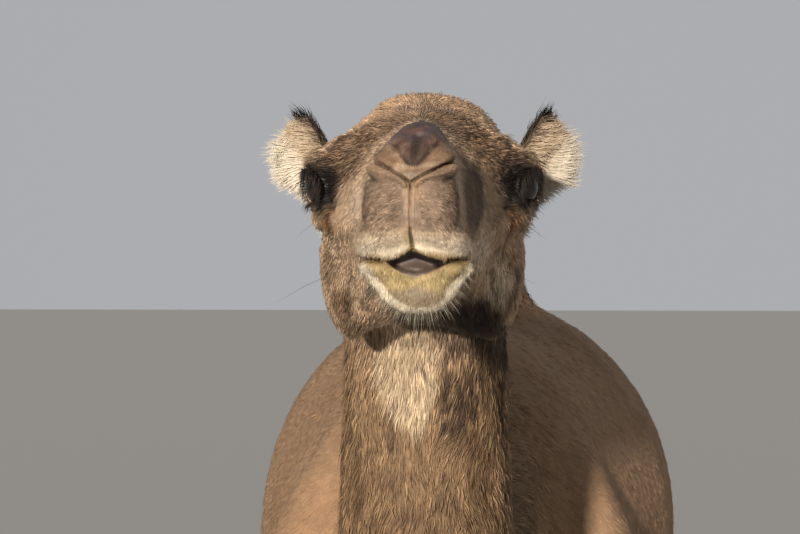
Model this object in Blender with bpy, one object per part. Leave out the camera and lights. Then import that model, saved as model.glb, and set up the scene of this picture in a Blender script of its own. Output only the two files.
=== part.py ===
"""A life-size dromedary camel, standing at ease with its head held level, as a still museum model.

Metres, +Z up. The camel faces -Y, and its left side is at +X. It is blocked out from lofts and
balls, as a sculptor fills an armature, fused into one body and one head by voxel remeshing, and
then parted into its named pieces by thin cuts. The feet stand on flats at Z = 0.
"""

import math

import bmesh
import bpy
import numpy as np
from mathutils import Matrix, Vector

# Driving dimensions
GAP = 0.0003  # clearance at every cut
FIT = 0.0006  # how far a neighbour is swollen before it trims a piece that sits on it
BACK = 1.80  # height of the back under the hump
HUMP_TOP = 1.975
BARREL_HALF_WIDTH = 0.333
EYE_Y, EYE_Z = -1.35, 1.928  # the midpoint between the eyes, which the head is laid out from
EYE_SIDE = 0.0985  # from the middle of the head to the middle of an eyeball
EYE_RADIUS = 0.0195
LID_RADIUS = 0.0245
HEAD_TURN = math.radians(2.2)  # the head looks a little to its left
TURN_Z = (1.56, 1.80)  # the heights on the neck where that turn begins and is complete
TURN_PIVOT_Y = -1.05
FORE_X, HIND_X = 0.165, 0.17  # from the middle to the middle of a foot
FORE_Y, HIND_Y = -0.375, 0.60  # the middle of each pair of feet
STRIDE = 0.05  # how far the left hind foot stands behind the right one

# Fineness
BODY_VOXEL, HEAD_VOXEL, EAR_VOXEL = 0.0095, 0.0030, 0.0026
BODY_TRIANGLES, HEAD_TRIANGLES = 3300, 2450
EAR_TRIANGLES, NAIL_TRIANGLES = 190, 44
RING = 32  # corners round a loft


# ---------------------------------------------------------------- shapes


def curve_through(rows, spacing):
    """Rows of numbers, interpolated smoothly and set close together along their first three."""
    rows = np.array(rows, float)
    reach = np.concatenate([[0], np.cumsum(np.linalg.norm(np.diff(rows[:, :3], axis=0), axis=1))])
    slope = np.gradient(rows, reach, axis=0)
    steps = np.linspace(0, reach[-1], max(4, int(reach[-1] / spacing)))
    at = np.clip(np.searchsorted(reach, steps, side="right") - 1, 0, len(reach) - 2)
    span = (reach[at + 1] - reach[at])[:, None]
    t = (steps - reach[at])[:, None] / span
    return (
        (1 + 2 * t) * (1 - t) ** 2 * rows[at]
        + t * (1 - t) ** 2 * span * slope[at]
        + t * t * (3 - 2 * t) * rows[at + 1]
        - t * t * (1 - t) * span * slope[at + 1]
    )


class Forms:
    """Closed shapes that overlap, gathered into one mesh before they are fused."""

    def __init__(self):
        self.points = []
        self.faces = []

    def rings(self, rings):
        """A closed skin over a row of rings, with a fan at either end."""
        first = len(self.points)
        count = len(rings[0])
        for ring in rings:
            self.points.extend(ring)
        ends = (first, first + (len(rings) - 1) * count)
        for row in range(len(rings) - 1):
            for k in range(count):
                a = first + row * count + k
                b = first + row * count + (k + 1) % count
                self.faces.append((a, b, b + count, a + count))
        self.faces.append(tuple(range(ends[0] + count - 1, ends[0] - 1, -1)))
        self.faces.append(tuple(range(ends[1], ends[1] + count)))

    def ball(self, centre, radii, pitch=0.0, yaw=0.0, roll=0.0):
        """An ellipsoid with half-axes along X, Y and Z, then turned about them, in degrees."""
        turn = (
            Matrix.Rotation(math.radians(yaw), 3, "Z")
            @ Matrix.Rotation(math.radians(pitch), 3, "X")
            @ Matrix.Rotation(math.radians(roll), 3, "Y")
        )
        rows = []
        for i in range(1, 16):
            polar = math.pi * i / 16
            rows.append(
                [
                    Vector(centre)
                    + turn
                    @ Vector(
                        (
                            radii[0] * math.sin(polar) * math.cos(angle),
                            radii[1] * math.sin(polar) * math.sin(angle),
                            radii[2] * math.cos(polar),
                        )
                    )
                    for angle in np.linspace(0, -2 * math.pi, 24, endpoint=False)
                ]
            )
        self.rings(rows)

    def pair(self, centre, radii, pitch=0.0, yaw=0.0, roll=0.0):
        """The same ball on the left and, mirrored, on the right."""
        self.ball(centre, radii, pitch, yaw, roll)
        self.ball((-centre[0], centre[1], centre[2]), radii, pitch, -yaw, -roll)

    def hull(self, stations, spacing=0.02):
        """A body along Y from upright sections.

        Each station is y, top, height of the widest place, bottom, half-width, and how square
        the section is above and below that place: 2 is an ellipse, less is more like a roof.
        """
        along = [(s[0], 0, 0, *s[1:]) for s in stations]
        rows = []
        for y, _, _, top, wide, bottom, half, above, below in curve_through(along, spacing):
            ring = []
            for k in range(RING):
                angle = -2 * math.pi * k / RING
                power = above if math.cos(angle) > 0 else below
                reach = top - wide if math.cos(angle) > 0 else wide - bottom
                side = math.copysign(abs(math.sin(angle)) ** (2 / power), math.sin(angle))
                lift = math.copysign(abs(math.cos(angle)) ** (2 / power), math.cos(angle))
                ring.append(Vector((half * side, y, wide + reach * lift)))
            rows.append(ring)
        self.rings(rows)

    def limb(self, stations, spacing=0.02, mirror=False):
        """A tube along a path, from oval sections square to the path as seen from the side.

        Each station is x, y, z, half-width, and how far it reaches towards each side of the path:
        forwards and backwards for a leg that runs down, over and under for a neck that runs
        forwards.
        """
        rows = curve_through(stations, spacing)
        heading = np.gradient(rows[:, 1:3], axis=0)
        heading /= np.linalg.norm(heading, axis=1)[:, None]
        sides = (1, -1) if mirror else (1,)
        for side in sides:
            rings = []
            for (x, y, z, half, fore, aft), (along_y, along_z) in zip(rows, heading):
                across = Vector((0, -along_z, along_y))
                ring = []
                for k in range(RING):
                    angle = 2 * math.pi * k / RING * side
                    reach = aft if math.sin(angle) * side > 0 else fore
                    ring.append(
                        Vector((x * side, y, z))
                        + Vector((half * math.cos(angle), 0, 0))
                        + across * (reach * math.sin(angle) * side)
                    )
                rings.append(ring)
            self.rings(rings)

    def object(self, name):
        mesh = bpy.data.meshes.new(name)
        mesh.from_pydata([tuple(p) for p in self.points], [], self.faces)
        thing = bpy.data.objects.new(name, mesh)
        bpy.context.scene.collection.objects.link(thing)
        box = bmesh.new()
        box.from_mesh(mesh)
        bmesh.ops.recalc_face_normals(box, faces=box.faces)
        box.to_mesh(mesh)
        box.free()
        return thing


def bake(thing, *modifiers):
    """Adds modifiers, each a type and its settings, and makes their result the object's mesh."""
    for kind, settings in modifiers:
        made = thing.modifiers.new(kind.title(), kind)
        for key, value in settings.items():
            setattr(made, key, value)
    graph = bpy.context.evaluated_depsgraph_get()
    old = thing.data
    thing.data = bpy.data.meshes.new_from_object(thing.evaluated_get(graph))
    thing.modifiers.clear()
    bpy.data.meshes.remove(old)
    return thing


def fuse(thing, voxel, smoothing):
    """One closed skin over all the shapes in an object, with the creases between them eased."""
    return bake(
        thing,
        ("REMESH", {"mode": "VOXEL", "voxel_size": voxel}),
        ("SMOOTH", {"factor": 0.5, "iterations": smoothing}),
    )


def thin_out(thing, triangles, care=None):
    """Fewer, larger triangles, with the smallest where the form bends most or care is high.

    care maps a place to a number from 0 to a half.
    """
    bake(thing, ("TRIANGULATE", {}))
    settings = {
        "decimate_type": "COLLAPSE",
        "ratio": min(1.0, triangles / len(thing.data.polygons)),
    }
    if care:
        group = thing.vertex_groups.new(name="care")
        for vertex in thing.data.vertices:
            group.add([vertex.index], care(vertex.co), "REPLACE")
        settings.update(vertex_group="care", invert_vertex_group=True, vertex_group_factor=0.15)
    bake(thing, ("DECIMATE", settings))
    thing.vertex_groups.clear()
    return thing


def copy_of(thing, name):
    made = bpy.data.objects.new(name, thing.data.copy())
    bpy.context.scene.collection.objects.link(made)
    return made


def slice_off(thing, point, outward):
    """Cuts away what lies beyond a plane, and caps the cut."""
    work = bmesh.new()
    work.from_mesh(thing.data)
    geometry = [*work.verts, *work.edges, *work.faces]
    cut = bmesh.ops.bisect_plane(
        work,
        geom=geometry,
        dist=1e-6,
        plane_co=Vector(point),
        plane_no=Vector(outward),
        clear_outer=True,
    )
    rim = [e for e in cut["geom_cut"] if isinstance(e, bmesh.types.BMEdge)]
    caps = bmesh.ops.holes_fill(work, edges=rim, sides=0)["faces"]
    bmesh.ops.triangulate(work, faces=caps)
    bmesh.ops.recalc_face_normals(work, faces=work.faces)
    work.to_mesh(thing.data)
    work.free()
    return thing


def split(thing, name, point, outward):
    """Parts an object at a plane. Beyond the plane becomes a new object with the given name."""
    outward = Vector(outward).normalized()
    half_gap = outward * (GAP / 2)
    beyond = copy_of(thing, name)
    slice_off(beyond, Vector(point) + half_gap, -outward)
    slice_off(thing, Vector(point) - half_gap, outward)
    return beyond


def combine(thing, other, operation):
    """Adds, keeps or cuts away another closed mesh."""
    bake(thing, ("BOOLEAN", {"operation": operation, "object": other, "solver": "EXACT"}))
    return thing


def cutter(name, inner_x, outer_x, inner, outer):
    """A closed block between two outlines in Y and Z with as many corners, at two values of X."""
    forms = Forms()
    forms.rings(
        [
            [Vector((inner_x, y, z)) for y, z in inner],
            [Vector((outer_x, y, z)) for y, z in outer],
        ]
    )
    block = forms.object(name)
    block.hide_render = True
    block.display_type = "WIRE"
    work = bmesh.new()
    work.from_mesh(block.data)
    bmesh.ops.triangulate(work, faces=work.faces)
    bmesh.ops.recalc_face_normals(work, faces=work.faces)
    work.to_mesh(block.data)
    work.free()
    return block


def swollen(thing, by):
    """A helper copy with every corner moved out along its normal."""
    made = copy_of(thing, thing.name + "_swollen")
    made.hide_render = True
    made.display_type = "WIRE"
    normals = [v.normal.copy() for v in made.data.vertices]
    for vertex, normal in zip(made.data.vertices, normals):
        vertex.co += normal * by
    return made


def remove(*things):
    for thing in things:
        mesh = thing.data
        bpy.data.objects.remove(thing)
        bpy.data.meshes.remove(mesh)


def part_with(thing, name, block):
    """Parts an object at the walls of a block. What is inside the block becomes a new object."""
    inside = combine(copy_of(thing, name), block, "INTERSECT")
    outside_block = swollen(block, GAP)
    combine(thing, outside_block, "DIFFERENCE")
    remove(outside_block)
    return inside


# ---------------------------------------------------------------- the body


def trunk_forms(forms):
    barrel = BARREL_HALF_WIDTH
    forms.hull(
        [
            (-0.600, 1.50, 1.38, 1.24, 0.080, 2.0, 2.0),
            (-0.560, 1.60, 1.36, 1.15, 0.135, 2.0, 2.0),
            (-0.460, 1.70, 1.36, 1.07, 0.190, 1.8, 2.0),
            (-0.330, 1.755, 1.39, 1.03, barrel * 0.75, 1.7, 2.0),
            (-0.150, 1.770, 1.41, 1.03, barrel * 0.89, 1.8, 2.0),
            (0.030, BACK - 0.008, 1.42, 1.045, barrel * 0.985, 1.95, 2.1),
            (0.160, BACK - 0.008, 1.43, 1.075, barrel, 2.0, 2.1),
            (0.300, 1.775, 1.45, 1.125, barrel * 0.94, 1.9, 2.0),
            (0.430, 1.735, 1.47, 1.195, barrel * 0.78, 1.8, 2.0),
            (0.560, 1.690, 1.47, 1.25, barrel * 0.66, 1.8, 2.0),
            (0.680, 1.635, 1.45, 1.27, barrel * 0.58, 1.8, 2.0),
            (0.790, 1.555, 1.41, 1.27, barrel * 0.43, 1.9, 2.0),
            (0.855, 1.470, 1.39, 1.31, barrel * 0.22, 2.0, 2.0),
        ]
    )
    # The hump: a narrow ridge of fat, steeper in front than behind
    forms.hull(
        [
            (-0.27, 1.765, 1.64, 1.50, 0.07, 1.8, 2.0),
            (-0.16, 1.815, 1.64, 1.50, 0.095, 1.7, 2.0),
            (-0.05, 1.905, 1.64, 1.50, 0.112, 1.6, 2.0),
            (0.05, HUMP_TOP - 0.008, 1.64, 1.50, 0.118, 1.6, 2.0),
            (0.13, HUMP_TOP, 1.64, 1.50, 0.120, 1.6, 2.0),
            (0.22, HUMP_TOP - 0.040, 1.64, 1.50, 0.120, 1.6, 2.0),
            (0.33, 1.850, 1.64, 1.50, 0.112, 1.7, 2.0),
            (0.44, 1.770, 1.64, 1.50, 0.10, 1.8, 2.0),
            (0.54, 1.705, 1.62, 1.50, 0.07, 1.9, 2.0),
        ]
    )
    # The breast pad that it kneels on
    forms.ball((0, -0.27, 1.055), (0.075, 0.105, 0.055))
    # Hip bones, pin bones and the filling of the flank
    forms.pair((0.150, 0.475, 1.600), (0.055, 0.070, 0.055))
    forms.pair((0.075, 0.780, 1.430), (0.062, 0.066, 0.095))
    forms.pair((0.110, 0.340, 1.330), (0.150, 0.170, 0.150))


def neck_stations():
    """The neck as a deep U: forwards out of the chest, then straight up to the head."""
    return [
        (0, -0.200, 1.460, 0.150, 0.230, 0.280),
        (0, -0.400, 1.445, 0.160, 0.230, 0.280),
        (0, -0.560, 1.405, 0.150, 0.205, 0.225),
        (0, -0.720, 1.365, 0.132, 0.170, 0.175),
        (0, -0.870, 1.375, 0.117, 0.150, 0.148),
        (0, -0.985, 1.440, 0.106, 0.140, 0.134),
        (0, -1.052, 1.545, 0.099, 0.132, 0.124),
        (0, -1.080, 1.660, 0.094, 0.124, 0.117),
        (0, -1.092, 1.765, 0.092, 0.112, 0.108),
        (0, -1.115, 1.855, 0.088, 0.100, 0.096),
        (0, -1.170, 1.920, 0.080, 0.090, 0.080),
        (0, -1.250, 1.940, 0.070, 0.080, 0.060),
    ]


def foreleg_forms(forms):
    x, y = FORE_X, FORE_Y
    forms.limb(
        [
            (x - 0.035, -0.300, 1.600, 0.060, 0.070, 0.090),
            (x + 0.010, -0.395, 1.450, 0.085, 0.110, 0.150),
            (x + 0.030, -0.420, 1.330, 0.090, 0.115, 0.160),
            (x + 0.035, -0.375, 1.210, 0.080, 0.100, 0.135),
            (x + 0.030, -0.335, 1.100, 0.066, 0.082, 0.096),
            (x + 0.022, -0.325, 0.960, 0.058, 0.068, 0.070),
            (x + 0.014, -0.330, 0.800, 0.047, 0.052, 0.052),
            (x + 0.008, -0.336, 0.690, 0.043, 0.045, 0.044),
            (x + 0.006, -0.340, 0.620, 0.052, 0.056, 0.048),
            (x + 0.005, -0.342, 0.555, 0.055, 0.060, 0.050),
            (x + 0.004, -0.338, 0.485, 0.044, 0.046, 0.044),
            (x + 0.003, -0.334, 0.400, 0.034, 0.035, 0.038),
            (x + 0.001, -0.333, 0.280, 0.032, 0.034, 0.037),
            (x, -0.336, 0.190, 0.042, 0.043, 0.045),
            (x, -0.345, 0.135, 0.048, 0.048, 0.050),
            (x, -0.360, 0.085, 0.052, 0.055, 0.052),
            (x, y + 0.005, 0.040, 0.056, 0.060, 0.055),
        ],
        mirror=True,
    )
    # Elbow, shoulder blade and point of the shoulder
    forms.pair((x + 0.020, -0.262, 1.145), (0.040, 0.045, 0.055))
    forms.pair((x - 0.020, -0.310, 1.530), (0.058, 0.095, 0.175), pitch=-20, roll=-14)
    forms.pair((x - 0.005, -0.485, 1.345), (0.070, 0.070, 0.095))
    for side in (1, -1):
        foot_forms(forms, side * x, y, 1.0)


def hindleg_forms(forms):
    x = HIND_X
    shank = [
        (x - 0.055, 0.640, 1.520, 0.085, 0.120, 0.140),
        (x - 0.020, 0.600, 1.400, 0.100, 0.160, 0.165),
        (x + 0.005, 0.565, 1.270, 0.098, 0.155, 0.155),
        (x + 0.020, 0.525, 1.150, 0.086, 0.128, 0.135),
        (x + 0.022, 0.530, 1.040, 0.070, 0.095, 0.105),
        (x + 0.018, 0.585, 0.900, 0.055, 0.068, 0.076),
        (x + 0.012, 0.645, 0.780, 0.045, 0.053, 0.060),
        (x + 0.006, 0.688, 0.690, 0.046, 0.053, 0.054),
        (x + 0.004, 0.695, 0.610, 0.041, 0.046, 0.044),
        (x + 0.002, 0.685, 0.500, 0.035, 0.038, 0.040),
        (x, 0.665, 0.330, 0.033, 0.036, 0.039),
        (x, 0.650, 0.205, 0.041, 0.044, 0.045),
        (x, 0.638, 0.145, 0.047, 0.048, 0.050),
        (x, 0.620, 0.090, 0.052, 0.056, 0.054),
        (x, HIND_Y + 0.005, 0.040, 0.056, 0.060, 0.056),
    ]
    hamstring = [
        (x - 0.085, 0.760, 1.450, 0.055, 0.070, 0.055),
        (x - 0.045, 0.748, 1.340, 0.066, 0.090, 0.058),
        (x - 0.010, 0.722, 1.220, 0.066, 0.090, 0.050),
        (x + 0.008, 0.690, 1.110, 0.056, 0.080, 0.044),
        (x + 0.014, 0.668, 1.000, 0.044, 0.060, 0.036),
        (x + 0.012, 0.672, 0.900, 0.030, 0.045, 0.026),
        (x + 0.009, 0.705, 0.820, 0.020, 0.030, 0.020),
        (x + 0.007, 0.735, 0.750, 0.023, 0.030, 0.022),
        (x + 0.005, 0.735, 0.680, 0.024, 0.030, 0.022),
        (x + 0.003, 0.718, 0.600, 0.022, 0.026, 0.020),
        (x + 0.001, 0.700, 0.520, 0.022, 0.024, 0.020),
    ]
    for side in (1, -1):
        back = STRIDE if side > 0 else 0.0
        for path in (shank, hamstring):
            forms.limb(
                [
                    (side * px, py + back * min(1, max(0, (1.25 - pz) / 0.75)), pz, *size)
                    for px, py, pz, *size in path
                ]
            )
        # Stifle, and the fold of skin in front of it
        forms.ball((side * (x + 0.015), 0.455, 1.130), (0.060, 0.070, 0.100))
        forms.ball((side * (x - 0.030), 0.400, 1.215), (0.040, 0.080, 0.070), pitch=25)
        foot_forms(forms, side * x, HIND_Y + back, 0.92)


def foot_forms(forms, x, y, size):
    """A broad soft pad under two toes, which reach a little past it in front."""
    forms.ball((x, y + 0.008 * size, 0.024), (0.093 * size, 0.104 * size, 0.044))
    forms.ball((x, y + 0.004, 0.052), (0.072 * size, 0.086 * size, 0.052))
    for toe in (1, -1):
        forms.ball(
            (x + toe * 0.042 * size, y - 0.070 * size, 0.030),
            (0.041 * size, 0.064 * size, 0.042),
            yaw=-toe * 9,
            pitch=8,
        )


def tail_forms(forms):
    forms.limb(
        [
            (0, 0.760, 1.515, 0.070, 0.050, 0.050),
            (0, 0.850, 1.465, 0.046, 0.034, 0.034),
            (0, 0.905, 1.400, 0.029, 0.022, 0.022),
            (0, 0.922, 1.310, 0.022, 0.018, 0.018),
            (0, 0.922, 1.200, 0.021, 0.017, 0.017),
            (0, 0.918, 1.090, 0.027, 0.021, 0.021),
            (0, 0.916, 0.990, 0.036, 0.027, 0.027),
            (0, 0.914, 0.910, 0.030, 0.023, 0.023),
            (0, 0.912, 0.850, 0.014, 0.012, 0.012),
        ]
    )


def make_body():
    forms = Forms()
    trunk_forms(forms)
    forms.limb(neck_stations())
    foreleg_forms(forms)
    hindleg_forms(forms)
    tail_forms(forms)
    body = fuse(forms.object("trunk"), BODY_VOXEL, 14)
    return thin_out(body, BODY_TRIANGLES, care=lambda place: 0.5 if place.z < 0.13 else 0.0)


# ---------------------------------------------------------------- the head


def on_head(forward, side, up):
    """A place on the head, measured from the midpoint between the eyes."""
    return (side, EYE_Y - forward, EYE_Z + up)


def head_hull(forms, stations):
    """Upright sections along the head: forward, top, widest, bottom, half-width, squareness."""
    forms.hull(
        [
            (EYE_Y - forward, EYE_Z + top, EYE_Z + wide, EYE_Z + bottom, *rest)
            for forward, top, wide, bottom, *rest in stations
        ],
        spacing=0.012,
    )


def make_head():
    forms = Forms()
    forms.limb(neck_stations()[5:], spacing=0.012)
    # Skull and face, from the nape to the nose
    head_hull(
        forms,
        [
            (-0.235, 0.030, -0.020, -0.060, 0.045, 2.0, 2.0),
            (-0.195, 0.074, -0.015, -0.110, 0.078, 2.0, 2.0),
            (-0.130, 0.098, -0.020, -0.145, 0.098, 2.1, 2.3),
            (-0.060, 0.098, -0.025, -0.150, 0.103, 2.2, 2.4),
            (0.000, 0.086, -0.030, -0.125, 0.098, 2.2, 2.3),
            (0.060, 0.072, -0.030, -0.105, 0.080, 2.0, 2.0),
            (0.120, 0.062, -0.030, -0.088, 0.062, 1.9, 2.0),
            (0.180, 0.055, -0.030, -0.078, 0.051, 1.9, 2.2),
            (0.240, 0.053, -0.030, -0.070, 0.0455, 1.9, 2.6),
            (0.285, 0.055, -0.030, -0.066, 0.0432, 1.9, 2.9),
            (0.312, 0.053, -0.029, -0.062, 0.0420, 1.9, 2.9),
            (0.332, 0.038, -0.028, -0.058, 0.0385, 1.9, 2.6),
            (0.344, 0.010, -0.029, -0.050, 0.0290, 2.0, 2.2),
        ],
    )
    # Lower jaw, from its angle under the cheek to the hanging lower lip
    head_hull(
        forms,
        [
            (-0.145, -0.050, -0.090, -0.128, 0.064, 2.0, 2.0),
            (-0.120, -0.050, -0.095, -0.152, 0.080, 2.0, 2.4),
            (-0.085, -0.050, -0.095, -0.166, 0.086, 2.0, 2.4),
            (-0.040, -0.050, -0.090, -0.160, 0.083, 2.0, 2.2),
            (0.030, -0.050, -0.085, -0.136, 0.068, 2.0, 2.0),
            (0.100, -0.050, -0.080, -0.114, 0.050, 2.0, 2.0),
            (0.170, -0.050, -0.075, -0.104, 0.041, 2.0, 1.9),
            (0.240, -0.050, -0.068, -0.106, 0.043, 2.0, 1.7),
            (0.285, -0.050, -0.064, -0.114, 0.049, 2.0, 1.6),
            (0.312, -0.056, -0.066, -0.115, 0.045, 2.0, 1.6),
            (0.330, -0.062, -0.072, -0.104, 0.033, 2.0, 1.7),
        ],
    )
    # Cheek muscle, cheekbone and the bony shelf over each eye
    forms.pair(on_head(-0.055, 0.070, -0.075), (0.037, 0.070, 0.082), pitch=12)
    forms.pair(on_head(0.045, 0.070, -0.032), (0.026, 0.090, 0.024), yaw=-22, pitch=5)
    forms.pair(on_head(-0.012, 0.078, 0.031), (0.038, 0.056, 0.026), roll=12)
    forms.pair(on_head(0.036, 0.056, 0.022), (0.030, 0.075, 0.024), yaw=-20, roll=14)
    forms.pair(on_head(-0.060, 0.088, 0.008), (0.027, 0.055, 0.034))
    # Lids, as a shell round each eye
    forms.pair(on_head(0, EYE_SIDE, 0), (LID_RADIUS, LID_RADIUS, LID_RADIUS))
    # Crown of thick hair, as wide as the head and flat on top
    forms.ball(on_head(-0.120, 0, 0.051), (0.084, 0.095, 0.054))
    # Pads of the split upper lip, with the flare of its margin
    forms.pair(on_head(0.320, 0.021, -0.030), (0.021, 0.032, 0.034))
    forms.ball(on_head(0.316, 0, -0.029), (0.020, 0.033, 0.033))
    forms.pair(on_head(0.298, 0.035, -0.054), (0.018, 0.045, 0.012))
    forms.pair(on_head(0.316, 0.017, 0.012), (0.021, 0.029, 0.016))
    head = fuse(forms.object("head"), HEAD_VOXEL, 10)
    carve_head(head)
    return thin_out(head, HEAD_TRIANGLES)


def carve_head(head):
    """The openings of the lids, the parted lips, the nostrils and the hollow between the jaws."""
    hollows = Forms()
    hollows.ball(on_head(0.010, 0, -0.165), (0.030, 0.120, 0.042), pitch=-8)
    hollows.ball(on_head(0.352, 0, -0.072), (0.029, 0.040, 0.0125))
    hollows.ball(on_head(0.354, 0, -0.030), (0.003, 0.010, 0.034))
    hollows.pair(on_head(0.325, 0.022, 0.009), (0.028, 0.012, 0.0038), yaw=46, roll=-18)
    hollows.pair(on_head(0.008, EYE_SIDE + 0.015, -0.001), (0.017, 0.0215, 0.0135), yaw=-22)
    tools = fuse(hollows.object("hollows"), 0.0020, 2)
    combine(head, tools, "DIFFERENCE")
    remove(tools)
    fuse(head, HEAD_VOXEL * 0.8, 3)


def eyeball(name, side, radius):
    mesh = bpy.data.meshes.new(name)
    work = bmesh.new()
    bmesh.ops.create_uvsphere(work, u_segments=12, v_segments=7, radius=radius)
    bmesh.ops.triangulate(work, faces=work.faces)
    bmesh.ops.translate(work, verts=work.verts, vec=on_head(0, side * EYE_SIDE, 0))
    work.to_mesh(mesh)
    work.free()
    thing = bpy.data.objects.new(name, mesh)
    bpy.context.scene.collection.objects.link(thing)
    return thing


def make_ear(name, side):
    """A short ear held up and outwards, cupped towards the front and full of long hair."""
    shell = Forms()
    shell.limb(
        [
            (0.000, 0.000, -0.030, 0.020, 0.016, 0.016),
            (0.006, 0.000, 0.000, 0.030, 0.020, 0.018),
            (0.015, -0.001, 0.026, 0.037, 0.021, 0.019),
            (0.017, -0.003, 0.050, 0.037, 0.019, 0.017),
            (0.011, -0.005, 0.071, 0.031, 0.014, 0.013),
            (-0.001, -0.007, 0.088, 0.018, 0.009, 0.008),
            (-0.010, -0.008, 0.099, 0.008, 0.004, 0.004),
        ],
        spacing=0.006,
    )
    ear = fuse(shell.object(name), EAR_VOXEL, 3)
    hollow = Forms()
    hollow.ball((0.018, -0.026, 0.042), (0.026, 0.021, 0.036), roll=-6)
    cup = hollow.object("cup")
    combine(ear, cup, "DIFFERENCE")
    remove(cup)
    thin_out(ear, EAR_TRIANGLES)
    if side < 0:
        ear.data.transform(Matrix.Scale(-1, 4, (1, 0, 0)))
        ear.data.flip_normals()
    place = Matrix.Translation(on_head(-0.175, side * 0.096, -0.010))
    open_out = Matrix.Rotation(side * math.radians(28), 4, "Z")
    lean = Matrix.Rotation(side * math.radians(26), 4, "Y")
    ear.data.transform(place @ lean @ open_out)
    return ear


def turned(thing):
    """The head's small turn, which grows from nothing up the top of the neck."""
    low, high = TURN_Z
    for vertex in thing.data.vertices:
        share = min(1.0, max(0.0, (vertex.co.z - low) / (high - low)))
        share = share * share * (3 - 2 * share)
        offset = Vector((vertex.co.x, vertex.co.y - TURN_PIVOT_Y, 0))
        offset.rotate(Matrix.Rotation(HEAD_TURN * share, 3, "Z"))
        vertex.co = Vector((offset.x, TURN_PIVOT_Y + offset.y, vertex.co.z))
    return thing


# ---------------------------------------------------------------- parting into pieces


def part_head(head):
    """Ears, eyes and the front of the lower jaw, each fitted to the head with a thin gap."""
    pieces = []
    for side, word in ((1, "left"), (-1, "right")):
        eye = eyeball(f"eye_{word}", side, EYE_RADIUS)
        socket = eyeball("socket", side, EYE_RADIUS + 2 * FIT)
        combine(head, socket, "DIFFERENCE")
        remove(socket)
        pieces.append(eye)
    near = swollen(head, FIT)
    for side, word in ((1, "left"), (-1, "right")):
        ear = make_ear(f"ear_{word}", side)
        combine(ear, near, "DIFFERENCE")
        keep_largest(ear)
        pieces.append(ear)
    remove(near)
    low, high = EYE_Z - 0.20, EYE_Z - 0.0615
    outline = [
        (EYE_Y - 0.40, low),
        (EYE_Y - 0.07, low),
        (EYE_Y - 0.11, high - 0.008),
        (EYE_Y - 0.24, high - 0.001),
        (EYE_Y - 0.40, high),
    ]
    block = cutter("jaw_cutter", -0.2, 0.2, outline, outline)
    pieces.append(part_with(head, "jaw", block))
    remove(block)
    return pieces


def keep_largest(thing):
    """Drops small scraps that a cut left behind."""
    work = bmesh.new()
    work.from_mesh(thing.data)
    unseen = set(work.verts)
    islands = []
    while unseen:
        island = set()
        todo = [unseen.pop()]
        while todo:
            vertex = todo.pop()
            island.add(vertex)
            for edge in vertex.link_edges:
                other = edge.other_vert(vertex)
                if other in unseen:
                    unseen.remove(other)
                    todo.append(other)
        islands.append(island)
    islands.sort(key=len)
    for island in islands[:-1]:
        bmesh.ops.delete(work, geom=list(island), context="VERTS")
    work.to_mesh(thing.data)
    work.free()
    return thing


def part_legs(body):
    """The four legs, each parted from the trunk by a slanting wall and then at two joints."""
    for side, word in ((1, "left"), (-1, "right")):
        for name, inner, outer, joints in (
            (
                "foreleg",
                [(-0.60, -0.1), (-0.20, -0.1), (-0.21, 1.030), (-0.60, 1.030)],
                [(-0.60, -0.1), (-0.20, -0.1), (-0.19, 1.400), (-0.60, 1.400)],
                (0.625, 0.165),
            ),
            (
                "hindleg",
                [(0.32, -0.1), (0.86, -0.1), (0.86, 1.200), (0.34, 1.200)],
                [(0.32, -0.1), (0.86, -0.1), (0.86, 1.480), (0.42, 1.480)],
                (0.665, 0.165),
            ),
        ):
            block = cutter("leg_cutter", side * 0.035, side * 0.40, inner, outer)
            upper = keep_largest(part_with(body, f"{name}_{word}_upper", block))
            remove(block)
            lower = split(upper, f"{name}_{word}_lower", (0, 0, joints[0]), (0, 0, -1))
            foot = split(lower, f"{name}_{word}_foot", (0, 0, joints[1]), (0, 0, -1))
            slice_off(foot, (0, 0, 0), (0, 0, -1))
            add_nails(foot, name, word, side)


def add_nails(foot, leg, word, side):
    """The two short broad nails at the front of a foot."""
    size = 1.0 if leg == "foreleg" else 0.92
    x = side * (FORE_X if leg == "foreleg" else HIND_X)
    y = FORE_Y if leg == "foreleg" else HIND_Y + (STRIDE if side > 0 else 0.0)
    near = swollen(foot, FIT)
    for toe, label in ((1, "a"), (-1, "b")):
        nail = Forms()
        nail.ball(
            (x + toe * 0.050 * size, y - 0.120 * size, 0.027),
            (0.020 * size, 0.025 * size, 0.014),
            yaw=-toe * 9,
            pitch=24,
        )
        piece = thin_out(nail.object(f"nail_{leg}_{word}_{label}"), NAIL_TRIANGLES)
        combine(piece, near, "DIFFERENCE")
        keep_largest(piece)
    remove(near)


def part_body(body):
    """Neck, hump and tail, each parted from the trunk by a plane."""
    neck = split(body, "neck_lower", (0, -0.600, 1.39), (0, -1, 0.32))
    upper = split(neck, "neck_upper", (0, -1.00, 1.465), (0, -0.55, 0.84))
    split(body, "tail", (0, 0.885, 1.45), (0, 1, 0))
    split(body, "hump", (0, 0.05, BACK - 0.012), (0, 0, 1))
    part_legs(body)
    return upper


def centre_on_floor():
    """Sets the origin midway along the camel, on the floor."""
    ends = [
        (thing.matrix_world @ vertex.co).y
        for thing in bpy.context.scene.objects
        for vertex in thing.data.vertices
    ]
    sides = [
        (thing.matrix_world @ vertex.co).x
        for thing in bpy.context.scene.objects
        for vertex in thing.data.vertices
    ]
    shift = Vector((-(min(sides) + max(sides)) / 2, -(min(ends) + max(ends)) / 2, 0))
    for thing in bpy.context.scene.objects:
        thing.data.transform(Matrix.Translation(shift))


# ---------------------------------------------------------------- finish


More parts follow.
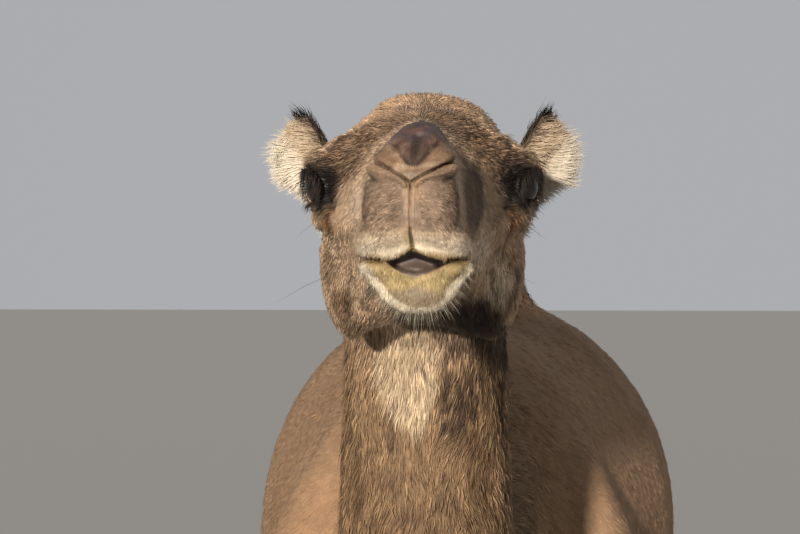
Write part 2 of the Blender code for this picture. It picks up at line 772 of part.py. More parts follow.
def material(name, colour, roughness):
    made = bpy.data.materials.new(name)
    made.use_nodes = True
    shader = made.node_tree.nodes["Principled BSDF"]
    shader.inputs["Base Color"].default_value = (*colour, 1)
    shader.inputs["Roughness"].default_value = roughness
    shader.inputs["Metallic"].default_value = 0.0
    return made


def dress():
    """Each piece's own material, and smooth shading that keeps the cuts sharp."""
    coats = {
        "head": ((0.36, 0.25, 0.17), 0.9),
        "jaw": ((0.50, 0.41, 0.27), 0.9),
        "ear": ((0.62, 0.53, 0.40), 0.95),
        "eye": ((0.02, 0.012, 0.008), 0.08),
        "neck": ((0.42, 0.30, 0.19), 0.95),
        "trunk": ((0.46, 0.31, 0.19), 0.9),
        "hump": ((0.43, 0.29, 0.18), 0.95),
        "tail": ((0.36, 0.25, 0.16), 0.9),
        "foreleg": ((0.47, 0.33, 0.21), 0.9),
        "hindleg": ((0.47, 0.33, 0.21), 0.9),
        "nail": ((0.09, 0.07, 0.055), 0.5),
    }
    for thing in bpy.context.scene.objects:
        kind = thing.name.split("_")[0]
        colour, roughness = coats[kind]
        thing.data.materials.clear()
        thing.data.materials.append(material(thing.name + "_finish", colour, roughness))
        thing.data.shade_smooth()
        thing.data.set_sharp_from_angle(angle=math.radians(50))


def main():
    for thing in list(bpy.data.objects):
        bpy.data.objects.remove(thing)
    upper_neck = part_body(make_body())
    head = make_head()
    for thing in [head, *part_head(head), upper_neck]:
        turned(thing)
    throat, up = Vector((0, EYE_Y + 0.205, EYE_Z - 0.140)), Vector((0, -0.30, 0.95)).normalized()
    slice_off(upper_neck, throat - up * GAP / 2, up)
    slice_off(head, throat + up * GAP / 2, -up)
    centre_on_floor()
    dress()


main()
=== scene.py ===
"""Finish of the life-size dromedary: skin, coat, eyes, lashes, whiskers, nails, camera, floor and light."""

import math

import bmesh
import bpy
import numpy as np
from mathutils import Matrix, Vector
from mathutils.bvhtree import BVHTree
from mathutils.kdtree import KDTree


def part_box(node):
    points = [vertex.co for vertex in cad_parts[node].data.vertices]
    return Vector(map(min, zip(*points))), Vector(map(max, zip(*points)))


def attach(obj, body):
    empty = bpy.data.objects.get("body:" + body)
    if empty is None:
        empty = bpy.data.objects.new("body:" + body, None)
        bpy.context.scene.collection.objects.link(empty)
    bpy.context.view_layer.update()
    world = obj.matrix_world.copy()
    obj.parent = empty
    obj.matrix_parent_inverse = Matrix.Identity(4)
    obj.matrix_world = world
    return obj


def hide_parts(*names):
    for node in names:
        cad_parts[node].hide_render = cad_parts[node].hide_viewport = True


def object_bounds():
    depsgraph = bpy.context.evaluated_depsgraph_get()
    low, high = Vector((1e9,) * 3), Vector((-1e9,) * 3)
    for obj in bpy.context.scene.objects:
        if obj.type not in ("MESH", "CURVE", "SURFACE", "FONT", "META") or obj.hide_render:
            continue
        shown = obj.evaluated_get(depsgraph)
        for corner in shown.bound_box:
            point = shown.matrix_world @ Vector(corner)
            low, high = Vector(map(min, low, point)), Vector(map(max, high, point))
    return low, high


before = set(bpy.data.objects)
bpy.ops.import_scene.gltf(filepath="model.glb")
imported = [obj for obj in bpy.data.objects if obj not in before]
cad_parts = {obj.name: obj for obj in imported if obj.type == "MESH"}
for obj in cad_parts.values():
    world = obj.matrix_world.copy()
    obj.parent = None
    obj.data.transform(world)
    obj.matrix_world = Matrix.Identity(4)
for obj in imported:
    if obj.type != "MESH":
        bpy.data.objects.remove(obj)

CAD_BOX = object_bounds()
CHANCE = np.random.default_rng(11)
COAT_SHARE, WIDTH_SHARE = ((1.0, 1.0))

# The nodes that the skin replaces
FLESH = sorted(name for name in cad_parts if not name.startswith(("eye_", "nail_")))
SIDES = {"right": -1, "left": 1}
REGIONS = ("head", "ear", "neck", "trunk", "hump", "tail", "thigh", "shank", "foot")

# The size of the skin's first faces, how far each solid swells to close the cuts between them, and how many
# triangles are kept of it before the face is refined
VOXEL = 0.004
SWELL = 0.0012
SKIN_TRIANGLES = 92_000


# ---------------------------------------------------------------- small helpers


def unit(vectors):
    return vectors / np.maximum(np.linalg.norm(vectors, axis=-1, keepdims=True), 1e-9)


def dot(a, b):
    return (a * b).sum(-1, keepdims=True)


def rise(low, high, x):
    """Goes smoothly from 0 at low to 1 at high."""
    t = np.clip((x - low) / (high - low), 0, 1)
    return t * t * (3 - 2 * t)


def mix(a, b, share):
    return a + (b - a) * share


def srgb(red, green, blue):
    """A colour as a screen shows it, 0 to 255, in the linear values that a shader wants."""
    c = np.array([red, green, blue]) / 255
    return np.where(c < 0.04045, c / 12.92, ((c + 0.055) / 1.055) ** 2.4)


def ripple(points, size, seed=0):
    """Smooth noise from -1 to 1 that changes over about this size."""
    p = points / size + seed * 7.31
    cell = np.floor(p).astype(np.int64)
    f = p - cell
    f = f * f * (3 - 2 * f)
    total = np.zeros(len(p))
    for corner in np.ndindex(2, 2, 2):
        x, y, z = (cell + corner).T
        h = x * 374761393 + y * 668265263 + z * 1442695041 + seed * 97
        h = (h ^ (h >> 13)) * 1274126177
        h = (h ^ (h >> 16)) & 0xFFFF
        total += np.prod(np.where(corner, f, 1 - f), axis=1) * (h / 32767.5 - 1)
    return total


def got(items, what, width, kind=np.float32):
    """One property of all of a mesh's vertices, edges or faces as an array."""
    values = np.empty(len(items) * width, kind)
    items.foreach_get(what, values)
    return values.reshape(-1, width).astype(np.int64 if kind is np.int32 else float)


def oval(points, centre, radii, full=0.0):
    """1 in the middle of a soft oval and 0 outside it; full is the share of its radii where it stays 1."""
    return rise(1.0, full, np.linalg.norm((points - centre) / radii, axis=1))


def put(mesh, points):
    """Sets the places of a mesh's vertices."""
    mesh.vertices.foreach_set("co", points.astype(np.float32).ravel())


def share_of(shares, *names):
    """How much of each place belongs to these regions."""
    return shares[:, [REGIONS.index(name) for name in names]].sum(1)


def by_region(shares, table):
    """The table's value for each place, blended where regions meet."""
    return shares @ np.array([table[name] for name in REGIONS])


def colour_points(mesh, colours):
    """Paints a mesh's vertices with the tint that its material reads."""
    layer = mesh.color_attributes.new("tint", "FLOAT_COLOR", "POINT")
    full = np.ones((len(colours), 4), np.float32)
    full[:, :3] = colours
    layer.data.foreach_set("color", full.ravel())


def box(node):
    """The lowest and the highest corner of a node's box."""
    low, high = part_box(node)
    return np.array(low), np.array(high)


def middle(node):
    return sum(box(node)) / 2


def added(name, data):
    """A new object in the scene."""
    thing = bpy.data.objects.new(name, data)
    bpy.context.scene.collection.objects.link(thing)
    return thing


def piece(mesh, slot, *nodes):
    """A mesh as a piece of the model, in place of these nodes if there are any."""
    thing = added(mesh.name, mesh)
    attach(thing, "root")
    if nodes:
        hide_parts(*nodes)
    return thing


# ---------------------------------------------------------------- the head's own measures

EYES = {side: middle(f"eye_{side}") for side in SIDES}
BETWEEN_EYES = (EYES["left"] + EYES["right"]) / 2
# How far each eye lies to its side of the middle
EYE_SPREAD = np.linalg.norm(EYES["left"] - EYES["right"]) / 2
EYE_RADIUS = (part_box("eye_left")[1].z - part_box("eye_left")[0].z) / 2
TO_ITS_LEFT = unit(EYES["left"] - EYES["right"])
UPWARD = np.array([0.0, 0.0, 1.0])
AHEAD = np.cross(TO_ITS_LEFT, UPWARD)
HEAD_AXES = np.array([AHEAD, TO_ITS_LEFT, UPWARD])


def straying(ahead, up):
    """How far to its left the muzzle's middle line strays: the lip leans one way, nose and chin the other."""
    lean = np.interp(up, [-0.12, -0.08, -0.045, 0.0, 0.02, 0.055], [0.003, 0.002, -0.003, -0.003, 0.0, 0.006])
    return lean * rise(0.15, 0.30, ahead)


def plain_measures(points):
    """How far ahead of, to the left of and above the middle between the eyes."""
    return (points - BETWEEN_EYES) @ HEAD_AXES.T


def head_measures(points):
    """The same, with the left counted from the face's own middle line."""
    q = plain_measures(points)
    q[..., 1] -= straying(q[..., 0], q[..., 2])
    return q


def mirrored(q):
    """Head measures with both halves of the head laid on its left."""
    return np.abs(q * (0, 1, 0)) + q * (1, 0, 1)


def from_head(measures):
    """The places that have these head measures."""
    q = np.array(measures, float)
    q[..., 1] += straying(q[..., 0], q[..., 2])
    return q @ HEAD_AXES + BETWEEN_EYES


# ---------------------------------------------------------------- the skin's first shape


def region_of(node):
    """The region of the coat that a node belongs to."""
    first, *rest = node.split("_")
    if first in ("foreleg", "hindleg"):
        return {"upper": "thigh", "lower": "shank", "foot": "foot"}[rest[-1]]
    return "head" if first == "jaw" else first


def flesh_object():
    """All flesh nodes in one mesh, each swollen a little so that the thin cuts between them close."""
    whole = bmesh.new()
    for name in FLESH:
        part = bmesh.new()
        part.from_mesh(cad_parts[name].data)
        bmesh.ops.remove_doubles(part, verts=part.verts, dist=1e-5)
        part.normal_update()
        for vertex in part.verts:
            vertex.co += vertex.normal * SWELL
        passing = bpy.data.meshes.new(name)
        part.to_mesh(passing)
        part.free()
        whole.from_mesh(passing)
        bpy.data.meshes.remove(passing)
    mesh = bpy.data.meshes.new("skin")
    whole.to_mesh(mesh)
    whole.free()
    return added("skin", mesh)


def settle(thing):
    """Applies the object's modifiers to its mesh."""
    graph = bpy.context.evaluated_depsgraph_get()
    mesh = bpy.data.meshes.new_from_object(thing.evaluated_get(graph), depsgraph=graph)
    thing.modifiers.clear()
    thing.vertex_groups.clear()
    old, thing.data = thing.data, mesh
    bpy.data.meshes.remove(old)


def weigh(thing, name, weights, levels=24):
    """A vertex group of these weights, in even steps."""
    group = thing.vertex_groups.new(name=name)
    steps = np.round(np.clip(weights, 0, 1) * levels).astype(int)
    for n in range(1, levels + 1):
        group.add(np.flatnonzero(steps == n).tolist(), n / levels, "REPLACE")
    return name


class Net:
    """The edges of a mesh, for spreading values over its surface."""

    def __init__(self, mesh):
        self.a, self.b = got(mesh.edges, "vertices", 2, np.int32).T
        self.size = len(mesh.vertices)
        self.count = np.maximum(np.bincount(np.r_[self.a, self.b], minlength=self.size), 1)

    def mean(self, values):
        """The mean of each point's neighbours."""
        out = np.empty_like(values)
        for n, column in enumerate(values.T):
            out[:, n] = np.bincount(self.a, column[self.b], self.size)
            out[:, n] += np.bincount(self.b, column[self.a], self.size)
        return out / self.count[:, None]

    def spread(self, values, times, pull=0.6):
        """The values, drawn towards their neighbours' mean again and again."""
        for _ in range(times):
            values = mix(values, self.mean(values), pull)
        return values


class NodeFinder:
    """Says which region of the body a place belongs to, by the CAD node nearest to it."""

    def __init__(self):
        points, faces, self.owner = [], [], []
        for name in FLESH:
            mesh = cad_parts[name].data
            base = len(points)
            points += [v.co.copy() for v in mesh.vertices]
            faces += [[base + i for i in face.vertices] for face in mesh.polygons]
            self.owner += [REGIONS.index(region_of(name))] * len(mesh.polygons)
        self.tree = BVHTree.FromPolygons(points, faces)

    def regions(self, points):
        """The number of the region that each place belongs to."""
        return np.array([self.owner[self.tree.find_nearest(p)[2]] for p in points.tolist()])


# How strongly each region is smoothed, of 150 passes
SMOOTHING = dict(head=0.02, ear=0.02, neck=1, trunk=1, hump=1, tail=0.15, thigh=0.6, shank=0.15, foot=0.05)


def first_skin(finder):
    """The closed, smooth skin with even faces, fine on the face and coarse elsewhere."""
    skin = flesh_object()
    remesh = skin.modifiers.new("remesh", "REMESH")
    remesh.mode = "VOXEL"
    remesh.voxel_size = VOXEL
    settle(skin)
    points = got(skin.data.vertices, "co", 3)
    softness = np.array([SMOOTHING[name] for name in REGIONS])[finder.regions(points)]
    softness = Net(skin.data).spread(softness[:, None], 25)[:, 0]
    smooth = skin.modifiers.new("smooth", "SMOOTH")
    smooth.factor = 0.6
    smooth.iterations = 150
    smooth.vertex_group = weigh(skin, "softness", softness, 50)
    settle(skin)
    ahead, side, up = head_measures(got(skin.data.vertices, "co", 3)).T
    face = rise(-0.02, 0.0, ahead) * (up > -0.19)
    ears = (np.abs(side) > 0.085) * (up > -0.02) * (ahead > -0.23)
    weigh(skin, "face", np.maximum(face, ears))
    thin = skin.modifiers.new("thin", "DECIMATE")
    thin.ratio = SKIN_TRIANGLES / (2 * len(skin.data.polygons))
    thin.vertex_group = "face"
    thin.invert_vertex_group = True
    thin.use_collapse_triangulate = True
    settle(skin)
    return skin


# ---------------------------------------------------------------- the face


def refine(skin, chosen):
    """Splits the chosen part of the skin into smaller triangles. chosen takes ahead, out and up."""
    mesh = bmesh.new()
    mesh.from_mesh(skin.data)
    ahead, side, up = head_measures(np.array([v.co for v in mesh.verts])).T
    picked = chosen(ahead, np.abs(side), up)
    faces = [f for f in mesh.faces if all(picked[v.index] for v in f.verts)]
    edges = list({e for f in faces for e in f.edges})
    bmesh.ops.subdivide_edges(mesh, edges=edges, cuts=1, use_grid_fill=True, smooth=0.0)
    bmesh.ops.triangulate(mesh, faces=[f for f in mesh.faces if len(f.verts) > 3])
    mesh.to_mesh(skin.data)
    mesh.free()


class Sculptor:
    """Moves the skin's points on the head. Places and sizes are head measures in metres."""

    def __init__(self, skin):
        self.skin = skin
        self.net = Net(skin.data)
        self.q = head_measures(got(skin.data.vertices, "co", 3))
        # the painted shade that furrows leave on the colour, and the painted light on ridges
        self.hollow = np.zeros(len(self.q))
        self.refresh()

    def refresh(self):
        """Takes the surface as it is now as the one that lines are laid on."""
        self.write()
        self.normals = got(self.skin.data.vertices, "normal", 3) @ HEAD_AXES.T
        faces = got(self.skin.data.polygons, "vertices", 3, np.int32)
        self.tree = BVHTree.FromPolygons(self.q.tolist(), faces.tolist())

    def write(self):
        """Gives the skin the shape reached so far."""
        put(self.skin.data, from_head(self.q))
        self.skin.data.update()

    def relax(self, times, share):
        """Evens the surface out where share, one value per point, is over 0."""
        for _ in range(times):
            self.q = mix(self.q, self.net.mean(self.q), 0.6 * share[:, None])

    def traced(self, places, gap=0.0008):
        """A smooth line through these places, laid on the surface."""
        p = np.array(places, float)
        p = np.vstack([2 * p[0] - p[1], p, 2 * p[-1] - p[-2]])
        line = []
        for a, b, c, d in zip(p, p[1:], p[2:], p[3:]):
            for t in np.linspace(0, 1, max(2, int(np.linalg.norm(c - b) / gap)), endpoint=False):
                curve = 2 * b + (c - a) * t + (2 * a - 5 * b + 4 * c - d) * t**2
                line.append(0.5 * (curve + (3 * b - a - 3 * c + d) * t**3))
        return np.array([self.tree.find_nearest(x)[0] for x in np.array(line + [p[-2]]).tolist()])

    def near(self, line, reach):
        """The points within reach of the line, how far off it they are and how far along it, 0 to 1."""
        low, high = line.min(0) - reach, line.max(0) + reach
        close = np.flatnonzero(((self.q > low) & (self.q < high)).all(1))
        gaps = np.linalg.norm(self.q[close, None] - line[None], axis=2)
        nearest = gaps.argmin(1)
        distance = gaps[np.arange(len(close)), nearest]
        keep = distance < reach
        return close[keep], distance[keep], nearest[keep] / (len(line) - 1)

    def crease(self, places, depth, width, start=0.15, end=0.15, both=True, dark=0.7):
        """A furrow along a line, or a ridge where depth is under 0, fading over its first and last shares.

        width is one half width, or several spaced evenly along the line. dark is how much painted shade
        darkens a furrow's colour; a ridge's colour gets painted light.
        """
        widths = np.atleast_1d(width)
        spaced = np.linspace(0, 1, len(widths))
        for sign in (1, -1) if both else (1,):
            line = self.traced(np.array(places) * (1, sign, 1))
            index, distance, along = self.near(line, widths.max() * 2.6)
            fade = rise(0, start, along) if start else 1
            fade = fade * (rise(0, end, 1 - along) if end else 1)
            shape = np.exp(-((distance / np.interp(along, spaced, widths)) ** 2)) * fade
            self.q[index] -= self.normals[index] * (shape * depth)[:, None]
            # painted shade along a furrow, painted light along a ridge
            self.hollow[index] += shape * (dark if depth > 0 else RIDGE_PAINTED_LIGHT)

    def swell(self, centre, radii, amount, both=True):
        """Raises a soft oval of the surface."""
        for sign in (1, -1) if both else (1,):
            share = oval(self.q, np.array(centre) * (1, sign, 1), radii)
            self.q += self.normals * (amount * share)[:, None]


# The lips' edges where they part, as seen from the front: how far out and how high
UPPER_LIP = ((0, -0.0605), (0.010, -0.0655), (0.022, -0.0695), (0.034, -0.0708))
LOWER_LIP = ((0, -0.0855), (0.010, -0.0830), (0.019, -0.0778), (0.028, -0.0728), (0.034, -0.0712))

# Lines on the face, as places ahead of, to the left of and above the middle between the eyes
NOSTRIL = (
    (0.285, 0.0450, 0.0300), (0.312, 0.0400, 0.0190), (0.332, 0.0300, 0.0155), (0.342, 0.0180, 0.0085),
    (0.345, 0.0075, 0.0035), (0.345, 0.0008, -0.0006),
)
NOSTRIL_BAND = (
    (0.300, 0.0440, 0.0140), (0.322, 0.0370, 0.0118), (0.337, 0.0270, 0.0082), (0.343, 0.0150, 0.0040),
    (0.345, 0.0070, -0.0010), (0.345, 0.0036, -0.0070),
)
# The nostrils' slits as seen from the front: how far out, and how high
SLIT = ((0.0008, 0.0075, 0.018, 0.030, 0.042), (-0.0006, 0.0035, 0.0085, 0.0155, 0.0200))
PHILTRUM = (
    (0.345, 0, 0.0015), (0.346, 0, -0.015), (0.347, 0, -0.033), (0.341, 0, -0.050), (0.334, 0, -0.0610),
)
PHILTRUM_RIM = (
    (0.345, 0.0034, -0.003), (0.346, 0.0030, -0.016), (0.347, 0.0026, -0.030), (0.343, 0.0026, -0.044),
)
MOUTH = (
    (0.330, 0.030, -0.0705), (0.322, 0.041, -0.0700), (0.305, 0.0520, -0.0695), (0.270, 0.0570, -0.0730),
    (0.232, 0.0600, -0.0810), (0.200, 0.0610, -0.0930),
)
# The mouth's opening and the tongue in it: half the opening's width, and the tongue's height
GAPE = 0.034
TONGUE = -0.0795
# Painted shade darkens a furrow's colour, and painted light lightens a ridge's
RIDGE_PAINTED_LIGHT = -0.35


def lip_front(side, up):
    """How far ahead the closed lips' surface stands, with no mouth opening."""
    return 0.3375 - 0.006 * rise(-0.060, -0.100, up) - 0.022 * (np.abs(side) / 0.05) ** 2.6


def chin_edge(out):
    """How high the chin's pale outline runs, this far out to either side."""
    heights = (-0.1195, -0.1180, -0.1115, -0.099, -0.087, -0.077)
    return np.interp(out, (0, 0.012, 0.024, 0.036, 0.047, 0.057), heights)


def pad_share(q, rear, front, low, high, top=0.0):
    """1 on the upper lip's pads, from this far ahead, from this height up and as far up as the top."""
    return rise(rear, front, q[:, 0]) * rise(top, top - 0.010, q[:, 2]) * rise(low, high, q[:, 2])


def in_mouth(side, up):
    """How far a place lies inside the mouth's opening, as seen from the front; under 0 outside it."""
    out = np.abs(side)
    return np.minimum(np.interp(out, *zip(*UPPER_LIP)) - up, up - np.interp(out, *zip(*LOWER_LIP)))


def off_mouth(side, up):
    """0 at the middle of the lips as seen from the front, 1 on an oval round them."""
    return np.hypot(side / 0.046, (up + 0.0725) / 0.020)


def part_lips(sculptor):
    """Lays the lips on their rounded front and opens the mouth between their edges."""
    ahead, side, up = sculptor.q.T
    share = (1 - rise(0.8, 1.1, off_mouth(side, up))) * (ahead > 0.295)
    inside = in_mouth(side, up)
    hollow = 0.017 * rise(-0.0008, 0.0060, inside) * (np.abs(side) < GAPE)
    tongue = 0.0100 * rise(1.0, 0.2, np.hypot(side / 0.019, (up - TONGUE) / 0.0085))
    roll = 0.0012 * np.exp(-(((np.abs(inside) - 0.003) / 0.003) ** 2)) * (inside < 0)
    target = lip_front(side, up) - np.maximum(hollow - tongue, 0) + roll
    sculptor.q[:, 0] = mix(ahead, target, share)


def shape_eyelids(sculptor):
    """Draws thin lids over the eyeball, with a fold above and a bag below."""
    for sign in SIDES.values():
        centre = np.array([0, sign * EYE_SPREAD, 0])
        gaze = gaze_of(sign)
        reach = sculptor.q - centre
        r = np.linalg.norm(reach, axis=1)
        way = reach / r[:, None]
        facing = way @ gaze
        lid = (rise(0.0310, 0.0262, r) * rise(-0.1, 0.35, facing))[:, None]
        wanted = EYE_RADIUS + 0.0018 + 0.0035 * rise(0.80, 0.45, facing)[:, None]
        sculptor.q = np.where(lid > 0, mix(sculptor.q, centre + way * wanted, lid * 0.85), sculptor.q)


def gaze_of(sign):
    """Which way an eye looks: mostly outward, a little ahead."""
    return unit(np.array([0.47, 0.88 * sign, 0.02]))


def raise_throat(skin):
    """Brings the throat up between the jaw's bones, so that it fills the corner behind the chin."""
    s = Sculptor(skin)
    ahead, side, up = s.q.T.copy()
    inner = rise(0.056, 0.024, np.abs(side + 0.008))
    front = rise(-0.31, -0.20, up) * rise(-0.130, -0.155, up)
    front = front * rise(0.05, 0.01, ahead) * rise(-0.18, -0.12, ahead)
    under = rise(-0.09, -0.02, ahead) * rise(0.22, 0.10, ahead) * rise(-0.09, -0.12, up)
    s.q[:, 0] += 0.036 * inner * front
    s.q[:, 2] += 0.030 * inner * under
    near = rise(0.14, 0.09, ahead) * rise(-0.18, -0.14, ahead)
    near = near * rise(-0.105, -0.125, up) * rise(-0.31, -0.27, up)
    s.relax(110, rise(0.060, 0.034, np.abs(side + 0.008)) * near)
    s.write()


def shape_mouth(skin):
    """Parts the lips and gives them their roll."""
    s = Sculptor(skin)
    s.relax(3, rise(0.20, 0.24, s.q[:, 0]))
    part_lips(s)
    s.refresh()
    ahead, side, up = s.q.T
    s.relax(2, rise(0.30, 0.31, ahead) * rise(-0.1, -0.09, up) * rise(-0.050, -0.056, up))
    ahead, side, up = s.q.T
    round_mouth = rise(0.72, 0.86, off_mouth(side, up)) * rise(1.6, 1.2, off_mouth(side, up))
    s.relax(14, round_mouth * rise(0.285, 0.300, ahead) * rise(-0.068, -0.064, up))
    s.swell((0.338, 0.026, -0.055), (0.030, 0.028, 0.016), 0.0020)
    s.write()


def at_slit(ahead, out, up):
    """Whether a place is at a nostril's slit, as seen from the front."""
    return (ahead > 0.30) & (np.abs(up - np.interp(out, *SLIT)) < 0.005) & (out < 0.042)


def from_eye(ahead, out, up):
    """How far a place is from a point just inside the eye's front."""
    return np.hypot(np.hypot(ahead - 0.008, out - EYE_SPREAD - 0.008), up)


def shape_nose(s):
    """Two lobes over the nostrils, with a notch between them where the bare hide ends in a point."""
    s.swell((0.325, 0.024, 0.024), (0.030, 0.019, 0.012), 0.0034)
    notch = ((0.344, 0, 0.011), (0.341, 0, 0.020), (0.334, 0, 0.032), (0.322, 0, 0.042))
    s.crease(notch, 0.0030, 0.0045, both=False)
    lobe = ((0.344, 0.001, 0.014), (0.340, 0.008, 0.021), (0.334, 0.015, 0.028), (0.322, 0.021, 0.036))
    s.crease(lobe, 0.0022, 0.0022)
    s.refresh()
    # the smooth bands under the nostrils, then the nostrils' closed slits
    s.crease(NOSTRIL_BAND, -0.0042, (0.0050, 0.0058, 0.0044, 0.0026, 0.0018), start=0.2, end=0.05)
    below = [(a + 0.002, b * 1.02 + 0.001, c - 0.0085) for a, b, c in NOSTRIL_BAND[:4]]
    s.crease(below, 0.0034, 0.0024, end=0.5)
    s.refresh()
    s.crease(NOSTRIL, 0.0074, (0.0024, 0.0018, 0.0011, 0.0009), end=0, dark=0.85)
    s.crease([(a - 0.002, b, c + 0.0055) for a, b, c in NOSTRIL[:-1]], -0.0020, 0.0030)


def shape_lips(s):
    """The split upper lip, the groove behind its pads, the mouth's long line and the chin's thick edge."""
    s.swell((0.340, 0.024, -0.026), (0.030, 0.022, 0.034), 0.0040)
    s.crease(PHILTRUM_RIM, -0.0014, 0.0026)
    split = (0.0008, 0.0008, 0.0009, 0.0013, 0.0016)
    s.crease(PHILTRUM, 0.0044, split, start=0.03, end=0, both=False, dark=0.9)
    behind_pad = ((0.305, 0.0500, 0.004), (0.298, 0.0530, -0.020), (0.290, 0.0560, -0.045))
    s.crease(behind_pad, 0.0040, 0.0050, dark=0.9)
    s.crease(MOUTH, 0.0085, 0.0020, start=0, dark=1.0)
    s.crease([(a, b, c + 0.0080) for a, b, c in MOUTH], -0.0018, 0.0060, start=0)
    s.crease([(a, b, c - 0.0080) for a, b, c in MOUTH[:-1]], -0.0024, 0.0052, start=0)
    s.swell((0.312, 0, -0.106), (0.045, 0.050, 0.026), 0.0075, both=False)
    outs = (0.002, 0.012, 0.024, 0.036, 0.047, 0.057)
    s.crease([(0.322 - 6 * out**2, out, chin_edge(out) + 0.003) for out in outs], -0.0045, 0.0065)


def wrinkle(s):
    """Fine wrinkles across the lip's pads, with painted shade in their troughs, and all over the bare hide.
    """
    pads = pad_share(s.q, 0.30, 0.32, -0.056, -0.046, top=-0.002) * rise(0.006, 0.010, np.abs(s.q[:, 1]))
    wave = np.sin(2 * np.pi * (s.q[:, 2] + 0.002 * ripple(s.q, 0.012, 3)) / 0.0048)
    wave = wave * (0.5 + 0.5 * ripple(s.q, 0.02, 5))
    s.q += s.normals * (0.0004 * pads * wave)[:, None]
    # painted shade in the troughs of the pads' wrinkles
    s.hollow += 0.12 * pads * rise(0.2, -0.8, wave)
    dome = oval(s.q, (0.310, 0, 0.046), (0.075, 0.042, 0.026), 0.6)
    folds = 0.0007 * ripple(s.q * (1, 1, 0.6), 0.0045, 17) + 0.0008 * ripple(s.q, 0.011, 18)
    s.q += s.normals * (dome * folds)[:, None]


def shape_cheeks(s):
    """Brows, the ridge before the eye, the jaw's bulge, and the folds round the eye, cheek and jaw."""
    e = EYE_SPREAD
    s.swell((0.010, e + 0.006, 0.050), (0.055, 0.034, 0.030), -0.013)
    # the crown is narrower on the camel's right
    s.swell((-0.090, -0.078, 0.085), (0.090, 0.050, 0.040), -0.015, both=False)
    s.crease(((0.110, 0.062, 0.018), (0.130, 0.061, -0.010), (0.150, 0.060, -0.040)), -0.0040, 0.0080)
    s.swell((0.020, 0.047, -0.126), (0.050, 0.020, 0.022), 0.0050)
    s.refresh()
    over_lid = (
        (0.028, e - 0.012, 0.0165), (0.010, e + 0.006, 0.0215), (-0.012, e + 0.008, 0.0190),
        (-0.026, e + 0.004, 0.010),
    )
    under_lid = ((0.026, e - 0.002, -0.0175), (0.010, e + 0.008, -0.0215), (-0.008, e + 0.008, -0.0205))
    tear = ((0.030, e - 0.006, -0.010), (0.045, e - 0.016, -0.018), (0.062, e - 0.024, -0.030))
    cheek = ((0.150, 0.060, -0.060), (0.110, 0.064, -0.085), (0.080, 0.066, -0.110))
    corner = (
        (0.040, 0.080, -0.080), (0.012, 0.077, -0.102), (-0.004, 0.078, -0.120), (-0.012, 0.074, -0.138),
    )
    under_corner = ((0.010, 0.076, -0.112), (0.012, 0.066, -0.128), (0.004, 0.056, -0.146))
    cheekbone = ((0.060, 0.090, -0.030), (0.040, 0.096, -0.055), (0.020, 0.094, -0.085))
    s.crease(over_lid, 0.0020, 0.0022)
    s.crease(under_lid, 0.0016, 0.0022)
    s.crease(tear, 0.0034, 0.0035, start=0.1)
    s.crease(cheek, 0.0030, 0.005)
    s.crease(corner, 0.0040, 0.0042)
    s.crease(under_corner, 0.0030, 0.004)
    s.crease(cheekbone, 0.0030, 0.004, dark=0.8)


def shape_face(skin):
    """Every fold and lip of the face. Gives the sculptor, which knows the lines and furrows."""
    put(skin.data, from_head(plain_measures(got(skin.data.vertices, "co", 3))))
    raise_throat(skin)
    refine(skin, lambda ahead, out, up: (ahead > 0.235) & (up > -0.125))
    shape_mouth(skin)
    refine(skin, lambda ahead, out, up: (ahead > 0.288) & (up > -0.100) & (up < 0.034) & (out < 0.056))
    refine(skin, lambda ahead, out, up: from_eye(ahead, out, up) < 0.036)
    refine(skin, at_slit)
    refine(skin, lambda ahead, out, up: (ahead > 0.32) & (out < 0.0045) & (up > -0.062) & (up < -0.004))
    s = Sculptor(skin)
    near_eye = from_eye(s.q[:, 0], np.abs(s.q[:, 1]), s.q[:, 2])
    s.relax(3, np.maximum(rise(0.28, 0.30, s.q[:, 0]), rise(0.040, 0.032, near_eye)))
    shape_eyelids(s)
    s.refresh()
    shape_nose(s)
    shape_lips(s)
    wrinkle(s)
    shape_cheeks(s)
    s.write()
    return s


# ---------------------------------------------------------------- camera, floor and light


def add_camera():
    """A long lens just ahead of the nose and a little to the camel's left, at the height of its nose."""
    turn, dip = math.radians(3.85), math.radians(0.72)
    distance, aside, below = 2.59, 0.0219, 0.0478
    onward = np.array([-math.sin(turn), math.cos(turn), 0])
    rightward = np.array([math.cos(turn), math.sin(turn), 0])
    data = bpy.data.cameras.new("camera")
    data.sensor_width = 36
    data.lens = 114.5
    data.clip_start, data.clip_end = 0.05, 200
    camera = added("camera", data)
    camera.location = BETWEEN_EYES - distance * onward - aside * rightward - below * UPWARD
    look = onward * math.cos(dip) - UPWARD * math.sin(dip)
    camera.rotation_mode = "QUATERNION"
    camera.rotation_quaternion = Vector(look).to_track_quat("-Z", "Y")
    bpy.context.scene.camera = camera


def add_floor():
    """A wide plain pale floor."""
    mesh = bpy.data.meshes.new("floor")
    wide = 60
    corners = [(-wide, -wide, 0), (wide, -wide, 0), (wide, wide, 0), (-wide, wide, 0)]
    mesh.from_pydata(corners, [], [(0, 1, 2, 3)])
    added("floor", mesh)
    paint = Paint("floor", 0.9)
    paint.set("Base Color", (0.60, 0.58, 0.55, 1))
    grain = paint.add("ShaderNodeTexNoise")
    grain.inputs["Scale"].default_value = 6
    paint.bump(grain.outputs["Fac"], 0.02, 0.002)
    mesh.materials.append(paint.material)


